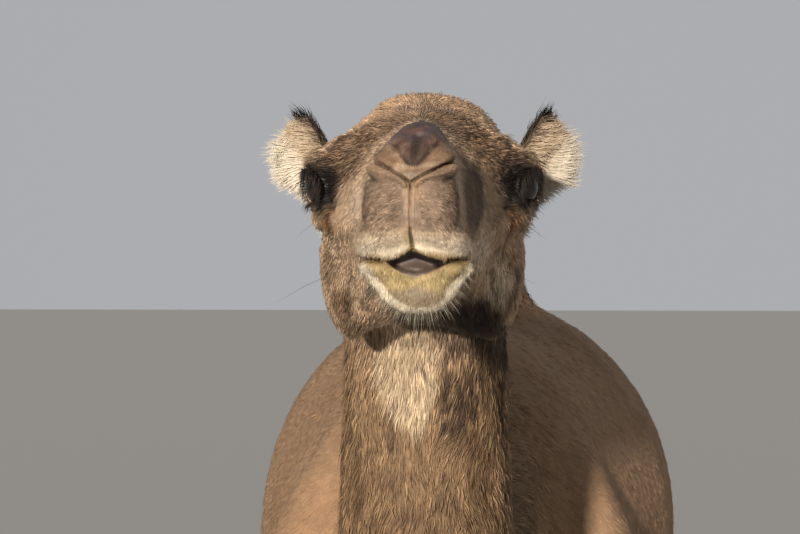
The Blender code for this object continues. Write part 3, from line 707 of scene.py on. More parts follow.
def add_sky():
    """A pale sky, brightest behind the camel."""
    world = bpy.data.worlds.new("sky")
    bpy.context.scene.world = world
    world.use_nodes = True
    nodes, links = world.node_tree.nodes, world.node_tree.links
    sky = nodes["Background"]
    sky.inputs["Color"].default_value = (0.82, 0.84, 0.87, 1)
    place = nodes.new("ShaderNodeTexCoord")
    parts = nodes.new("ShaderNodeSeparateXYZ")
    span = nodes.new("ShaderNodeMapRange")
    span.inputs["From Min"].default_value = -1
    span.inputs["To Min"].default_value = 0.04
    span.inputs["To Max"].default_value = 0.50
    links.new(place.outputs["Generated"], parts.inputs["Vector"])
    links.new(parts.outputs["Y"], span.inputs["Value"])
    links.new(span.outputs["Result"], sky.inputs["Strength"])


def add_sun():
    """A low, warm sun from the viewer's left."""
    sun = bpy.data.lights.new("sun", "SUN")
    sun.energy = 4.35
    sun.angle = math.radians(2.5)
    sun.color = (1.0, 0.94, 0.86)
    lamp = added("sun", sun)
    shining = Vector((0.155, 0.975, -0.155))
    lamp.rotation_mode = "QUATERNION"
    lamp.rotation_quaternion = shining.to_track_quat("-Z", "Y")
    bpy.context.scene.view_settings.view_transform = "Standard"


# ---------------------------------------------------------------- materials


class Paint:
    """A procedural material on one Principled shader."""

    def __init__(self, name, roughness):
        self.material = bpy.data.materials.new(name)
        self.material.use_nodes = True
        self.tree = self.material.node_tree
        self.shader = self.tree.nodes["Principled BSDF"]
        self.set("Roughness", roughness)

    def add(self, kind, **settings):
        node = self.tree.nodes.new(kind)
        for name, value in settings.items():
            setattr(node, name, value)
        return node

    def set(self, socket, value):
        self.shader.inputs[socket].default_value = value

    def join(self, start, end):
        self.tree.links.new(start, end)

    def attribute(self, name):
        return self.add("ShaderNodeAttribute", attribute_name=name)

    def noise(self, scale, detail=4, stretch=(1, 1, 1)):
        """Noise in the object's own measures, drawn out along an axis where stretch is small."""
        place = self.add("ShaderNodeTexCoord")
        shape = self.add("ShaderNodeMapping")
        shape.inputs["Scale"].default_value = stretch
        self.join(place.outputs["Object"], shape.inputs["Vector"])
        noise = self.add("ShaderNodeTexNoise")
        noise.inputs["Scale"].default_value = scale
        noise.inputs["Detail"].default_value = detail
        self.join(shape.outputs["Vector"], noise.inputs["Vector"])
        return noise.outputs["Fac"]

    def varied(self, colour, noise, dark, light):
        """The colour times a factor that the noise takes from dark to light."""
        span = self.add("ShaderNodeMapRange")
        span.inputs["From Min"].default_value = 0.3
        span.inputs["From Max"].default_value = 0.7
        span.inputs["To Min"].default_value = dark
        span.inputs["To Max"].default_value = light
        self.join(noise, span.inputs["Value"])
        scaled = self.add("ShaderNodeVectorMath", operation="SCALE")
        self.join(colour, scaled.inputs[0])
        self.join(span.outputs["Result"], scaled.inputs["Scale"])
        return scaled.outputs["Vector"]

    def bump(self, height, strength, distance):
        bump = self.add("ShaderNodeBump")
        bump.inputs["Strength"].default_value = strength
        bump.inputs["Distance"].default_value = distance
        self.join(height, bump.inputs["Height"])
        self.join(bump.outputs["Normal"], self.shader.inputs["Normal"])


def skin_paint():
    """Hide and the flat hair next to it: the painted colour, mottled, with fine hair running downward."""
    paint = Paint("hide", 0.75)
    colour = paint.varied(paint.attribute("tint").outputs["Color"], paint.noise(60, 6), 0.82, 1.14)
    colour = paint.varied(colour, paint.noise(520, 3, (1, 1, 0.25)), 0.80, 1.15)
    paint.join(colour, paint.shader.inputs["Base Color"])
    paint.join(paint.attribute("dull").outputs["Fac"], paint.shader.inputs["Roughness"])
    paint.bump(paint.noise(620, 5, (1, 1, 0.22)), 0.45, 0.002)
    return paint.material


def coat_paint():
    """Hair: each tuft's own colour, a little silky."""
    paint = Paint("hair", 0.55)
    colour = paint.varied(paint.attribute("tint").outputs["Color"], paint.noise(900, 2), 0.88, 1.10)
    paint.join(colour, paint.shader.inputs["Base Color"])
    paint.set("Specular IOR Level", 0.30)
    return paint.material


# ---------------------------------------------------------------- the finished surface


class Surface:
    """The skin's points and faces with what the coat needs to know of them."""

    def __init__(self, skin, finder, hollow):
        mesh = skin.data
        self.mesh = mesh
        # hollow holds the painted shade of the furrows and the painted light of the ridges
        self.hollow = hollow
        self.faces = got(mesh.polygons, "vertices", 3, np.int32)
        self.net = Net(mesh)
        region = finder.regions(got(mesh.vertices, "co", 3))
        self.shares = self.net.spread(np.eye(len(REGIONS))[region], 8)
        # the wool of neck and hump thins out slowly into the trunk's short hair
        body = [REGIONS.index(name) for name in ("neck", "trunk", "hump")]
        wide = self.net.spread(self.shares[:, body], 45)
        wide = wide / np.maximum(wide.sum(1, keepdims=True), 1e-9)
        self.shares[:, body] = self.shares[:, body].sum(1, keepdims=True) * wide
        self.measure()

    def measure(self):
        """Reads the mesh as it is now."""
        self.points = got(self.mesh.vertices, "co", 3)
        self.normals = got(self.mesh.vertices, "normal", 3)
        self.q = head_measures(self.points)
        a, b, c = (self.points[self.faces[:, n]] for n in range(3))
        self.areas = np.linalg.norm(np.cross(b - a, c - a), axis=1) / 2

    def move(self, points):
        """Gives the skin this shape."""
        put(self.mesh, points)
        self.mesh.update()
        self.measure()

    def scatter(self, density):
        """Places spread evenly over the skin, with this many on a square metre round each point."""
        wanted = self.areas * density[self.faces].mean(1)
        heap = np.cumsum(wanted)
        face = np.searchsorted(heap, np.arange(CHANCE.random(), heap[-1]))
        a, b = CHANCE.random((2, len(face)))
        over = a + b > 1
        a, b = np.where(over, 1 - a, a), np.where(over, 1 - b, b)
        return self.faces[face], np.stack([1 - a - b, a, b], 1)


def sampled(values, place):
    """What the values at the skin's points come to at scattered places."""
    corners, weights = place
    return (values[corners] * weights.reshape(weights.shape + (1,) * (values.ndim - 1))).sum(1)


# The skin is this much darker than the hair over it
SKIN_SHADE = 0.85
# How deep the skin lies under the coat's outline
DEPTH = dict(
    head=0.001, ear=0.003, neck=0.002, trunk=0.007, hump=0.014, tail=0.006,
    thigh=0.006, shank=0.003, foot=0.002,
)


def sink(surface):
    """Draws the skin in under the coat, and the ears' hairy outer halves most of all."""
    away = np.linalg.norm(mirrored(surface.q) - (0, EYE_SPREAD, 0), axis=1)
    bare = np.maximum(rise(0.20, 0.26, surface.q[:, 0]), rise(0.050, 0.032, away))
    _, length, stand = combed(surface.q)
    depth = by_region(surface.shares, DEPTH)
    depth = depth + share_of(surface.shares, "head") * 0.75 * length * np.sin(stand)
    depth = surface.net.spread(depth[:, None], 10)[:, 0] * (1 - bare)
    points = surface.points - surface.normals * depth[:, None]
    ahead, side, up = head_measures(points).T
    ear = share_of(surface.shares, "ear") * rise(0.10, 0.115, np.abs(side))
    side = side - np.sign(side) * ear * 0.10 * (np.abs(side) - 0.10)
    up = up + 0.018 * ear * rise(0.165, 0.140, np.abs(side)) * rise(0.025, -0.015, up)
    surface.move(from_head(np.stack([ahead, side, up], 1)))


# ---------------------------------------------------------------- colours

FACE = srgb(206, 174, 142)
DARK = srgb(92, 68, 50)
EYE_DARK = srgb(36, 30, 27)
SANDY = srgb(222, 182, 144)
CREAM = srgb(220, 201, 174)
YELLOW = srgb(190, 165, 118)
HIDE = srgb(92, 74, 72)
COATS = dict(
    head=FACE, ear=srgb(205, 188, 158), neck=srgb(152, 121, 89), trunk=srgb(186, 148, 113),
    hump=srgb(172, 137, 102), tail=srgb(150, 118, 88), thigh=srgb(194, 156, 119), shank=srgb(196, 164, 130),
    foot=srgb(178, 148, 116),
)

# Soft oval stains on the head, left and right, with a painted shadow under the chin among them: centre,
# radii, colour, strength
STAINS = (
    ((0.130, 0.061, -0.012), (0.060, 0.016, 0.050), srgb(226, 196, 166), 0.8),
    ((0.050, 0.070, 0.036), (0.075, 0.062, 0.038), DARK, 0.80),
    ((0.055, 0.030, 0.060), (0.080, 0.050, 0.034), srgb(122, 94, 72), 0.70),
    ((-0.080, 0.000, 0.098), (0.130, 0.125, 0.062), SANDY, 0.95),
    ((0.045, 0.084, -0.029), (0.030, 0.022, 0.020), srgb(150, 104, 70), 0.85),
    ((0.050, 0.086, -0.024), (0.012, 0.008, 0.016), srgb(62, 44, 32), 0.85),
    ((0.060, 0.076, -0.034), (0.010, 0.006, 0.010), srgb(196, 160, 112), 0.6),
    ((0.020, EYE_SPREAD - 0.004, 0.000), (0.052, 0.034, 0.036), EYE_DARK, 1.0),
    # painted shadow under the chin and the jaw
    ((0.110, 0.000, -0.130), (0.200, 0.058, 0.042), srgb(50, 36, 27), 0.95),
    ((0.018, 0.099, -0.062), (0.040, 0.008, 0.040), srgb(96, 72, 54), 0.7),
    ((0.006, 0.098, -0.095), (0.040, 0.014, 0.055), srgb(104, 78, 58), 0.6),
    ((0.000, 0.081, -0.118), (0.045, 0.018, 0.026), srgb(94, 68, 48), 0.75),
    ((0.000, 0.072, -0.142), (0.050, 0.034, 0.020), srgb(104, 78, 58), 0.6),
    ((0.015, 0.047, -0.124), (0.050, 0.020, 0.020), srgb(216, 180, 146), 0.6),
    ((0.290, 0.000, 0.046), (0.085, 0.046, 0.034), HIDE, 1.0),
    ((0.338, 0.000, 0.026), (0.030, 0.013, 0.017), srgb(82, 58, 50), 0.9),
    ((0.330, 0.015, 0.034), (0.030, 0.012, 0.010), srgb(104, 72, 60), 0.7),
    ((0.336, 0.024, 0.021), (0.032, 0.024, 0.011), srgb(134, 102, 76), 0.9),
    ((0.330, 0.038, 0.012), (0.040, 0.020, 0.008), srgb(186, 150, 116), 0.85),
    ((0.340, 0.026, 0.006), (0.032, 0.024, 0.009), srgb(186, 150, 116), 0.9),
    ((0.344, 0.000, 0.0075), (0.020, 0.019, 0.0085), srgb(134, 103, 77), 0.95),
    ((0.342, 0.022, -0.018), (0.060, 0.050, 0.042), srgb(142, 118, 97), 0.95),
    ((0.342, 0.004, -0.012), (0.040, 0.007, 0.026), srgb(172, 138, 106), 0.6),
)

# Painted light and shade in the same layout, on the camel's left only: a painted shadow behind the lip's pad,
# painted sunlight on the cheek and a painted shadow under the jaw
LEFT_PAINTED_LIGHT_AND_SHADE = (
    # painted shadow of the muzzle behind the lip's pad
    ((0.160, 0.051, -0.010), (0.120, 0.022, 0.052), srgb(92, 74, 64), 0.80),
    # painted sunlight on the cheek
    ((0.090, 0.062, -0.068), (0.060, 0.018, 0.038), srgb(250, 226, 198), 0.85),
    ((0.030, 0.080, -0.095), (0.070, 0.020, 0.038), srgb(250, 226, 198), 0.85),
    # painted shadow beside the chin
    ((0.030, 0.050, -0.132), (0.150, 0.040, 0.036), srgb(44, 32, 25), 0.95),
)


def stained(colour, q, warp):
    """The head's stains on a colour, their edges wandering by the warp, and the painted light and shade that
    lie among them.
    """
    # the second list is painted light and shade on the camel's left only
    for place, stains in ((mirrored(q), STAINS), (q, LEFT_PAINTED_LIGHT_AND_SHADE)):
        for centre, radii, stain, strength in stains:
            share = oval(place + warp, centre, radii, 0.45) * strength
            colour = mix(colour, stain, share[:, None])
    return colour


def lip_colours(colour, q, warp):
    """Cream upper lip, yellow lower lip, grey chin with a pale edge, and the inside of the mouth, painted
    dark as shade round the tongue.
    """
    ahead, side, up = (q + 0.6 * warp).T
    out = np.abs(side)
    snout = rise(0.225, 0.262, ahead)
    mouth = np.interp(out, [0, GAPE, 0.056, 0.062], [-0.073, -0.071, -0.070, -0.085])
    upper, lower = up > mouth, (up <= mouth) * rise(-0.128, -0.118, up)
    to_top = np.abs(up - np.interp(out, *zip(*UPPER_LIP)))
    to_bottom = np.abs(up - np.interp(out, *zip(*LOWER_LIP)))
    layers = (
        (CREAM, rise(-0.040, -0.057, up + 0.06 * np.sqrt(out * 0.02)) * upper),
        (YELLOW * 0.8, 0.8 * rise(0.006, 0.001, out) * rise(-0.036, -0.052, up) * upper),
        (srgb(150, 120, 72), 0.85 * rise(0.0080, 0.0025, to_top) * upper),
        (YELLOW, lower),
        (srgb(150, 124, 76), 0.6 * rise(0.0055, 0.0010, to_bottom) * lower),
        (srgb(160, 140, 112), rise(-0.0910, -0.0985, up + 0.10 * out) * lower),
    )
    for stain, share in layers:
        colour = mix(colour, stain, (share * snout)[:, None])
    broad = mix(0.0050, 0.0095, rise(0.012, 0.042, out))
    pale = rise(1.4, 0.8, np.abs(up - chin_edge(out) - 0.10 * out) / broad) * rise(0.225, 0.245, ahead)
    colour = mix(colour, srgb(230, 214, 186), (pale * (up <= mouth + 0.004))[:, None])
    # the opening's painted shade round the tongue doesn't stray up or down with the warp
    inside = rise(-0.0005, 0.0015, in_mouth(side, q[:, 2])) * (np.abs(q[:, 1]) < GAPE) * (q[:, 0] > 0.28)
    tongue = rise(1.15, 0.75, np.hypot(q[:, 1] / 0.019, (q[:, 2] - TONGUE) / 0.0095))
    shade = mix(srgb(34, 22, 18), srgb(122, 104, 92), tongue[:, None])
    return mix(colour, shade, inside[:, None])


def ear_frame(q):
    """The ways along an ear, out of its hollow and outward, and how far up it and outward a place is."""
    sign = np.where(q[:, 1] < 0, -1.0, 1.0)
    lean, turn = math.radians(29), math.radians(28)

    def leaning(ahead, side, up):
        return np.stack([ahead + 0 * sign, sign * side, up + 0 * sign], 1)

    along = leaning(0, math.sin(lean), math.cos(lean))
    facing = leaning(math.cos(turn), math.sin(turn), 0)
    outward = leaning(0, math.cos(lean), -math.sin(lean))
    from_base = q - leaning(-0.175, 0.096, -0.010)
    return along, facing, outward, (from_base * along).sum(1), (from_base * outward).sum(1)


def body_colours(points, shares):
    """The coat's colours behind the head: streaked wool, soft clouds, bare pads and the tail's dark end."""
    colour = by_region(shares, COATS)
    neck, hump = share_of(shares, "neck"), share_of(shares, "hump")
    tail = share_of(shares, "tail") * tail_tuft(points)
    colour = mix(colour, srgb(72, 54, 42), (0.9 * tail)[:, None])
    streaks = rise(-0.20, 0.50, ripple(points * (1, 1, 0.6), 0.013, 4) + 0.6 * ripple(points, 0.045, 5))
    colour = mix(colour, srgb(100, 77, 55), (0.62 * streaks * (neck + 0.6 * hump))[:, None])
    clouds = rise(-0.5, 0.9, ripple(points, 0.16, 6) + 0.4 * ripple(points, 0.05, 7))
    short = share_of(shares, "trunk", "thigh", "shank", "foot")
    colour = mix(colour, srgb(166, 124, 88), (0.45 * clouds * short)[:, None])
    rough = 1 + 0.25 * ripple(points, 0.007, 22) + 0.2 * ripple(points, 0.020, 23)
    return mix(colour, srgb(124, 102, 84) * rough[:, None], 0.85 * callous(points)[:, None])


def pale_throat(q, normals, front, warp):
    """1 on the throat's pale patch, which is pointed below and lies a little to the camel's right."""
    ups = (-0.266, -0.242, -0.220, -0.200, -0.170, -0.145, -0.120)
    right = np.interp(q[:, 2], ups, (-0.004, -0.034, -0.050, -0.056, -0.054, -0.034, -0.020))
    left = np.interp(q[:, 2], ups, (-0.002, 0.005, 0.012, 0.018, 0.022, 0.016, 0.010))
    inside = np.minimum(q[:, 1] - right, left - q[:, 1]) + 0.4 * warp[:, 1]
    throat = rise(-0.001, 0.005, inside) * rise(-0.270, -0.262, q[:, 2])
    return throat * rise(-0.40, -0.62, normals[:, 1]) * (q[:, 0] > -0.35) * front


def dark_strands(q, normals):
    """1 on the strands beside the throat, which slant in from the camel's left."""
    slant = q[:, 1] - 0.9 * q[:, 2] * rise(0.075, 0.030, q[:, 1])
    strands = ripple(np.stack([0 * slant, slant, 0.10 * q[:, 2]], 1), 0.0052, 14)
    strands = strands + 0.5 * ripple(q * (1, 1, 0.3), 0.011, 15)
    beside = rise(0.010, 0.022, q[:, 1]) * rise(-0.290, -0.240, q[:, 2]) * (normals[:, 1] < 0)
    return beside * rise(-0.15, 0.12, strands)


def painted_jaw_shadow(q, normals, warp):
    """Painted shadow: 1 between the jaw's bones, under the jaw, and 1 on the neck just below the jaw, mostly
    on the camel's left, where the jaw's shadow falls.
    """
    side, up = q[:, 1], q[:, 2]
    between = rise(-0.45, -0.75, normals[:, 2]) * rise(-0.112, -0.124, up) * rise(-0.185, -0.172, up)
    between = between * rise(-0.22, -0.18, q[:, 0]) * rise(-0.036, -0.014, side) * rise(0.085, 0.070, side)
    below = rise(-0.007, 0.001, up + 0.154 + 0.36 * side + 0.8 * warp[:, 2])
    below = below * rise(-0.006, 0.016, side) * rise(-0.12, -0.14, up) * rise(0.3, -0.1, normals[:, 1])
    return between, below


def face_colours(q, colour, hollow, warp):
    """The face's stains with the painted light and shade among them, its bare hide, the lips, short streaks
    of darker and paler hair, and painted shade in furrows and painted light on ridges.
    """
    face = stained(colour, q, warp)
    dome = oval(q, (0.305, 0, 0.048), (0.075, 0.040, 0.026), 0.7)
    face = mix(face, srgb(118, 84, 72), (0.55 * dome * rise(0.0, 0.5, ripple(q, 0.0075, 16)))[:, None])
    face = mix(face, srgb(58, 46, 46), (0.40 * dome * rise(0.0, 0.5, ripple(q, 0.0060, 19)))[:, None])
    face = lip_colours(face, q, warp)
    # the streaks run across the lip's pads, outward over the brows and downward on the cheeks
    muzzle = rise(0.27, 0.31, q[:, 0])
    across = ripple(q * (1, 0.4, 1), 0.0032, 8) + 0.6 * ripple(q * (1, 0.5, 1), 0.008, 9)
    down = ripple(q * (1, 1, 0.35), 0.0045, 10) + 0.6 * ripple(q * (1, 1, 0.5), 0.012, 12)
    brow = rise(0.0, 0.03, q[:, 2]) * (1 - muzzle)
    streaky = np.clip(mix(down, across, np.maximum(muzzle, brow)), -1.5, 1.5)
    pads = pad_share(q, 0.27, 0.31, -0.050, -0.040)
    # painted light: stronger light and dark streaks on the camel's left cheek, where sunlit strands stand out
    painted_sunlit_cheek = rise(0.045, 0.060, q[:, 1]) * rise(0.24, 0.20, q[:, 0]) * rise(0.0, -0.03, q[:, 2])
    face = face * (1 + (0.10 + 0.12 * brow + 0.12 * pads + 0.16 * painted_sunlit_cheek) * streaky)[:, None]
    # painted shade in the furrows, painted light on the ridges
    return face * (1 - 0.72 * rise(0, 1, hollow) + 0.16 * rise(0, 1, -hollow))[:, None]


def tints(points, normals, shares, hollow):
    """The colour of hide and hair at these places, with painted light and shade on the face and under the
    jaw. hollow is over 0 in furrows, where it paints shade, and under 0 on ridges, where it paints light.
    """
    q = head_measures(points)
    warp = 0.007 * np.stack([ripple(q, 0.02, n) for n in (1, 2, 3)], 1)
    neck, head = share_of(shares, "neck"), share_of(shares, "head")
    # the neck, and the head's lowest part where it meets the neck
    front = np.maximum(neck, head * rise(-0.125, -0.140, q[:, 2]) * rise(0.06, 0.03, q[:, 0]))
    throat = pale_throat(q, normals, front, warp)
    between, below = painted_jaw_shadow(q, normals, warp)
    colour = body_colours(points, shares)
    strands = dark_strands(q, normals) * neck * (1 - throat)
    colour = mix(colour, srgb(64, 47, 34), (0.95 * strands)[:, None])
    face = face_colours(q, colour, hollow, warp)
    colour = mix(colour, face, (head * rise(-0.21, -0.17, q[:, 2]))[:, None])
    # painted shadow under the jaw and on the neck below it
    colour = mix(colour, srgb(46, 34, 26), (0.88 * np.maximum(between, front * below))[:, None])
    colour = mix(colour, srgb(208, 182, 148), (0.95 * throat * (1 - below))[:, None])
    return ear_colours(colour, q, normals @ HEAD_AXES.T, share_of(shares, "ear"))


def ear_colours(colour, q, normals, ear):
    """Pale hair in the hollow and all round its outer edge, a dark inner edge and tip."""
    _, facing, _, height, out = ear_frame(q)
    hollow = rise(-0.25, 0.15, (normals * facing).sum(1))
    pale = np.maximum(hollow, rise(-0.008, 0.008, out))
    shade = mix(srgb(120, 94, 70), srgb(226, 212, 190), pale[:, None])
    shade = mix(shade, srgb(190, 160, 124), (0.75 * rise(0.018, -0.006, out) * pale)[:, None])
    edge = rise(-0.014, -0.019, out - 0.02 * height) * rise(0.015, 0.040, height)
    tip = rise(0.098, 0.108, height) * rise(-0.002, -0.010, out)
    shade = mix(shade, srgb(52, 40, 32), np.maximum(0.92 * edge, tip)[:, None])
    return mix(colour, shade, ear[:, None])


# ---------------------------------------------------------------- the lie of the coat

# On the head: place, way the hair points, its length in millimetres, how far it stands up
GROOMING = (
    ((0.325, 0.012, 0.045), (-1, 0.3, 0.2), 2.5, 0.10),
    ((0.337, 0.015, 0.028), (-0.2, 0.6, 1), 3.5, 0.30),
    ((0.335, 0.030, 0.020), (-0.5, 1, 0.3), 3.5, 0.25),
    ((0.220, 0.012, 0.060), (-1, 0.35, 0), 5, 0.15),
    ((0.080, 0.020, 0.066), (-1, 0.8, 0.1), 7, 0.25),
    ((0.345, 0.020, -0.015), (0, 1, -0.45), 6, 0.34),
    ((0.345, 0.008, -0.028), (0, 1, -0.15), 5.5, 0.32),
    ((0.345, 0.030, -0.040), (0, 0.8, -0.8), 6, 0.36),
    ((0.250, 0.050, -0.020), (-1, 0.1, -0.35), 5, 0.15),
    ((0.335, 0.012, -0.056), (0.1, 0.3, -1), 4, 0.30),
    ((0.328, 0.032, -0.062), (0.1, 0.3, -1), 4.5, 0.30),
    ((0.290, 0.052, -0.062), (-0.2, 0.4, -1), 4.5, 0.30),
    ((0.240, 0.060, -0.075), (-0.8, 0.3, -0.5), 7, 0.25),
    ((0.328, 0.015, -0.088), (0.15, 0.1, -1), 6, 0.30),
    ((0.310, 0.040, -0.078), (0, 0.3, -1), 6, 0.30),
    ((0.315, 0.008, -0.104), (0, 0.1, -1), 4, 0.20),
    ((0.295, 0.030, -0.104), (-0.1, 0.4, -1), 8, 0.40),
    ((0.300, 0.000, -0.120), (-0.1, 0.1, -1), 9, 0.45),
    ((0.260, 0.050, -0.092), (-0.3, 0.6, -0.9), 8, 0.40),
    ((0.150, 0.020, -0.125), (-1, 0.1, -0.4), 9, 0.28),
    ((0.150, 0.065, -0.030), (-0.6, 0.2, -0.9), 5.5, 0.22),
    ((0.150, 0.062, -0.080), (-0.6, 0.2, -1), 6.5, 0.28),
    ((0.070, 0.080, -0.060), (-0.3, 0.1, -1), 7, 0.28),
    ((0.080, 0.070, -0.005), (-0.2, 0.6, -0.8), 6, 0.28),
    ((0.010, 0.080, -0.120), (-0.3, 0.1, -1), 9.5, 0.32),
    ((-0.060, 0.080, -0.150), (-0.5, 0, -0.9), 13, 0.35),
    ((0.030, 0.100, -0.032), (-0.2, 0.7, -1), 8.5, 0.38),
    ((-0.020, 0.102, -0.030), (-0.6, 0.5, -0.8), 9, 0.30),
    ((0.040, 0.098, 0.022), (0, 1, 0.0), 9, 0.40),
    ((0.020, 0.088, 0.038), (-0.1, 1, -0.15), 14, 0.55),
    ((0.060, 0.060, 0.044), (-0.1, 1, -0.2), 13, 0.52),
    ((0.060, 0.030, 0.060), (-0.3, 1, 0.2), 12, 0.48),
    ((0.010, 0.000, 0.080), (-0.3, 0.2, 1), 8, 0.40),
    ((-0.020, 0.055, 0.072), (-0.2, 1, 0.3), 11, 0.50),
    ((-0.090, 0.000, 0.100), (-0.6, 0.1, 1), 10, 0.65),
    ((-0.070, 0.045, 0.088), (-0.3, 0.9, 0.6), 10, 0.55),
    ((-0.090, 0.085, 0.055), (-0.4, 1, 0.3), 10, 0.45),
    ((-0.160, 0.030, 0.080), (-1, 0.3, 0.2), 18, 0.45),
    ((-0.050, 0.105, 0.020), (-0.8, 0.6, -0.1), 9, 0.32),
    ((-0.060, 0.100, -0.040), (-0.8, 0.2, -0.6), 9, 0.25),
    ((-0.120, 0.090, -0.090), (-0.5, 0, -1), 14, 0.30),
    ((-0.200, 0.060, 0.010), (-1, 0.2, -0.4), 20, 0.35),
    ((-0.100, 0.030, -0.170), (-0.3, 0.1, -1), 12, 0.25),
    ((0.000, 0.020, -0.150), (0.0, 0.3, -1), 12, 0.25),
)

# On the rest: tufts on a square metre, their length, width, stand and waviness, the share of them that are
# fine straight hairs, and how much they draw together in locks
STYLES = dict(
    head=(0, 0, 0, 0, 0.16, 0, 0.18),
    ear=(330_000, 0.019, 0.0010, 0.40, 0.14, 0, 0.10),
    neck=(116_000, 0.018, 0.0017, 0.34, 0.22, 0.84, 0.45),
    trunk=(18_500, 0.019, 0.0027, 0.06, 0.07, 1, 0.15),
    hump=(40_000, 0.040, 0.0030, 0.30, 0.22, 0.60, 0.45),
    tail=(50_000, 0.026, 0.0018, 0.22, 0.10, 0.50, 0.25),
    thigh=(18_500, 0.018, 0.0025, 0.07, 0.07, 1, 0.15),
    shank=(38_000, 0.014, 0.0015, 0.14, 0.10, 1, 0.20),
    foot=(42_000, 0.009, 0.0012, 0.18, 0.08, 1, 0.10),
)
# Hairs shorter than this are straight, and a straight one among locks is thinner by this factor
STRAIGHT_BELOW = 0.0092
THINNER = 0.62
# How deep a tuft is rooted, how many tufts share a lock, and how far off the floor its hair stays
ROOTED = 0.0006
LOCK = 5
OFF_FLOOR = 0.001


def combed(q):
    """The way, length and stand of the hair on the head, from the grooming's places round about."""
    mirror = mirrored(q)
    total = np.zeros((len(q), 5))
    weights = np.zeros(len(q))
    for place, way, length, stand in GROOMING:
        near = 1 / (((mirror - place) ** 2).sum(1) + 0.008**2) ** 2
        total += near[:, None] * np.r_[unit(np.array(way, float)), length / 1000, stand]
        weights += near
    total /= weights[:, None]
    sign = np.where(q[:, 1] < 0, -1, 1) * rise(0, 0.006, mirror[:, 1])
    total[:, 1] *= sign
    return total[:, :3] @ HEAD_AXES, total[:, 3], total[:, 4]


def at(node, back, height):
    """A place in a node's box on the body's middle plane, as shares of its length and height."""
    low, high = box(node)
    return np.array([0, mix(low[1], high[1], back), mix(low[2], high[2], height)])


# The middle line of neck and trunk, from behind the head to the rump
SPINE = np.array([
    at("neck_upper", 0.34, 1.10), at("neck_upper", 0.36, 0.85), at("neck_upper", 0.40, 0.58),
    at("neck_upper", 0.62, 0.20), at("neck_lower", 0.40, 0.37), at("neck_lower", 0.75, 0.46),
    at("trunk", 0.10, 0.52), at("trunk", 0.55, 0.55), at("trunk", 0.95, 0.62),
])


def on_spine(points):
    """How far along the spine each place is, the spine's way there, and the angle round it."""
    gaps = np.diff(SPINE, axis=0)
    lengths = np.linalg.norm(gaps, axis=1)
    starts = np.r_[0, np.cumsum(lengths)[:-1]]
    best = np.full(len(points), np.inf)
    along, angle, way = np.zeros(len(points)), np.zeros(len(points)), np.zeros((len(points), 3))
    for start, base, gap, length in zip(starts, SPINE, gaps, lengths):
        t = np.clip((points - base) @ gap / length**2, 0, 1)
        off = points - base - t[:, None] * gap
        far = np.linalg.norm(off, axis=1)
        closer = far < best
        best = np.where(closer, far, best)
        along = np.where(closer, start + t * length, along)
        upward = np.cross(gap / length, (1, 0, 0))
        angle = np.where(closer, np.arctan2(off[:, 0], off @ upward), angle)
        way = np.where(closer[:, None], gap / length, way)
    return along, way, angle


def lie(points, normals, shares):
    """Which way the coat runs, along the skin."""
    q = head_measures(points)
    _, spine_way, _ = on_spine(points)
    down = np.array([0, 0, -1.0])
    side = np.sign(points[:, :1]) * (1, 0, 0)
    from_hump = unit((points - middle("hump")) * (1, 1, 0))
    along, facing, outward, height, out = ear_frame(q)
    hollow = rise(-0.05, 0.3, dot(normals @ HEAD_AXES.T, facing))
    fan = mix(-0.35, 0.75, rise(0.02, 0.085, height))[:, None]
    fanned = outward + fan * along + 0.35 * facing
    ways = dict(
        head=combed(q)[0],
        ear=mix(along, fanned, np.maximum(hollow, rise(0.0, 0.015, out)[:, None])) @ HEAD_AXES,
        neck=spine_way * 0.75 + down * 0.7 + 0.1 * side,
        trunk=spine_way * 0.6 + down * 0.75,
        hump=from_hump * 0.5 + down + np.array([0, 0.35, 0]),
        tail=down + 0 * points,
        thigh=down + np.array([0, 0.25, 0]) + 0 * points,
        shank=down + np.array([0, 0.2, 0]) + 0 * points,
        foot=down + np.array([0, -0.2, 0]) + 0 * points,
    )
    way = sum(shares[:, n, None] * unit(ways[name]) for n, name in enumerate(REGIONS))
    # the throat's hair sweeps down and inward, most of all from the camel's left
    neck = share_of(shares, "neck")[:, None]
    throat = rise(0.16, 0.04, np.abs(q[:, 2:] + 0.20)) * neck * (normals[:, 1:2] < 0)
    way = way - TO_ITS_LEFT * throat * (rise(-0.01, 0.05, q[:, 1:2]) - 0.5 * rise(-0.03, -0.07, q[:, 1:2]))
    wander = np.stack([ripple(points, 0.03, n) for n in (11, 12, 13)], 1)
    way = way + (0.22 + 0.30 * neck) * wander
    return unit(way - dot(way, normals) * normals)


# ---------------------------------------------------------------- tufts

# A tuft's corners: the ring they belong to, and how far across and how high in it, seen from its tip
LONG_TUFT = np.array([(0, -1, 0), (0, 1, 0), (0, 0, 1), (1, -1, 0), (1, 1, 0), (1, 0, 1), (2, 0, 0)])
LONG_FACES = np.array([
    (0, 2, 1), (0, 1, 4), (0, 4, 3), (1, 2, 5), (1, 5, 4), (2, 0, 3), (2, 3, 5),
    (3, 4, 6), (4, 5, 6), (5, 3, 6),
])
SHORT_TUFT = LONG_TUFT[[0, 1, 2, 6]]
SHORT_FACES = np.array([(0, 2, 1), (0, 1, 3), (1, 2, 3), (2, 0, 3)])
# How much a tuft narrows, and its colour from the root over the bend to the tip: painted shade darkens the
# root, where the hairs round it shade it, and the tip is lighter
TAPER = np.array([1.0, 0.85, 0.0])
PAINTED_ROOT_SHADE = np.array([0.84, 1.0, 1.10])
# The size of a tuft's patch on the map, and the most triangles in one piece of coat
PATCH = 0.003
MOST_TRIANGLES = 190_000


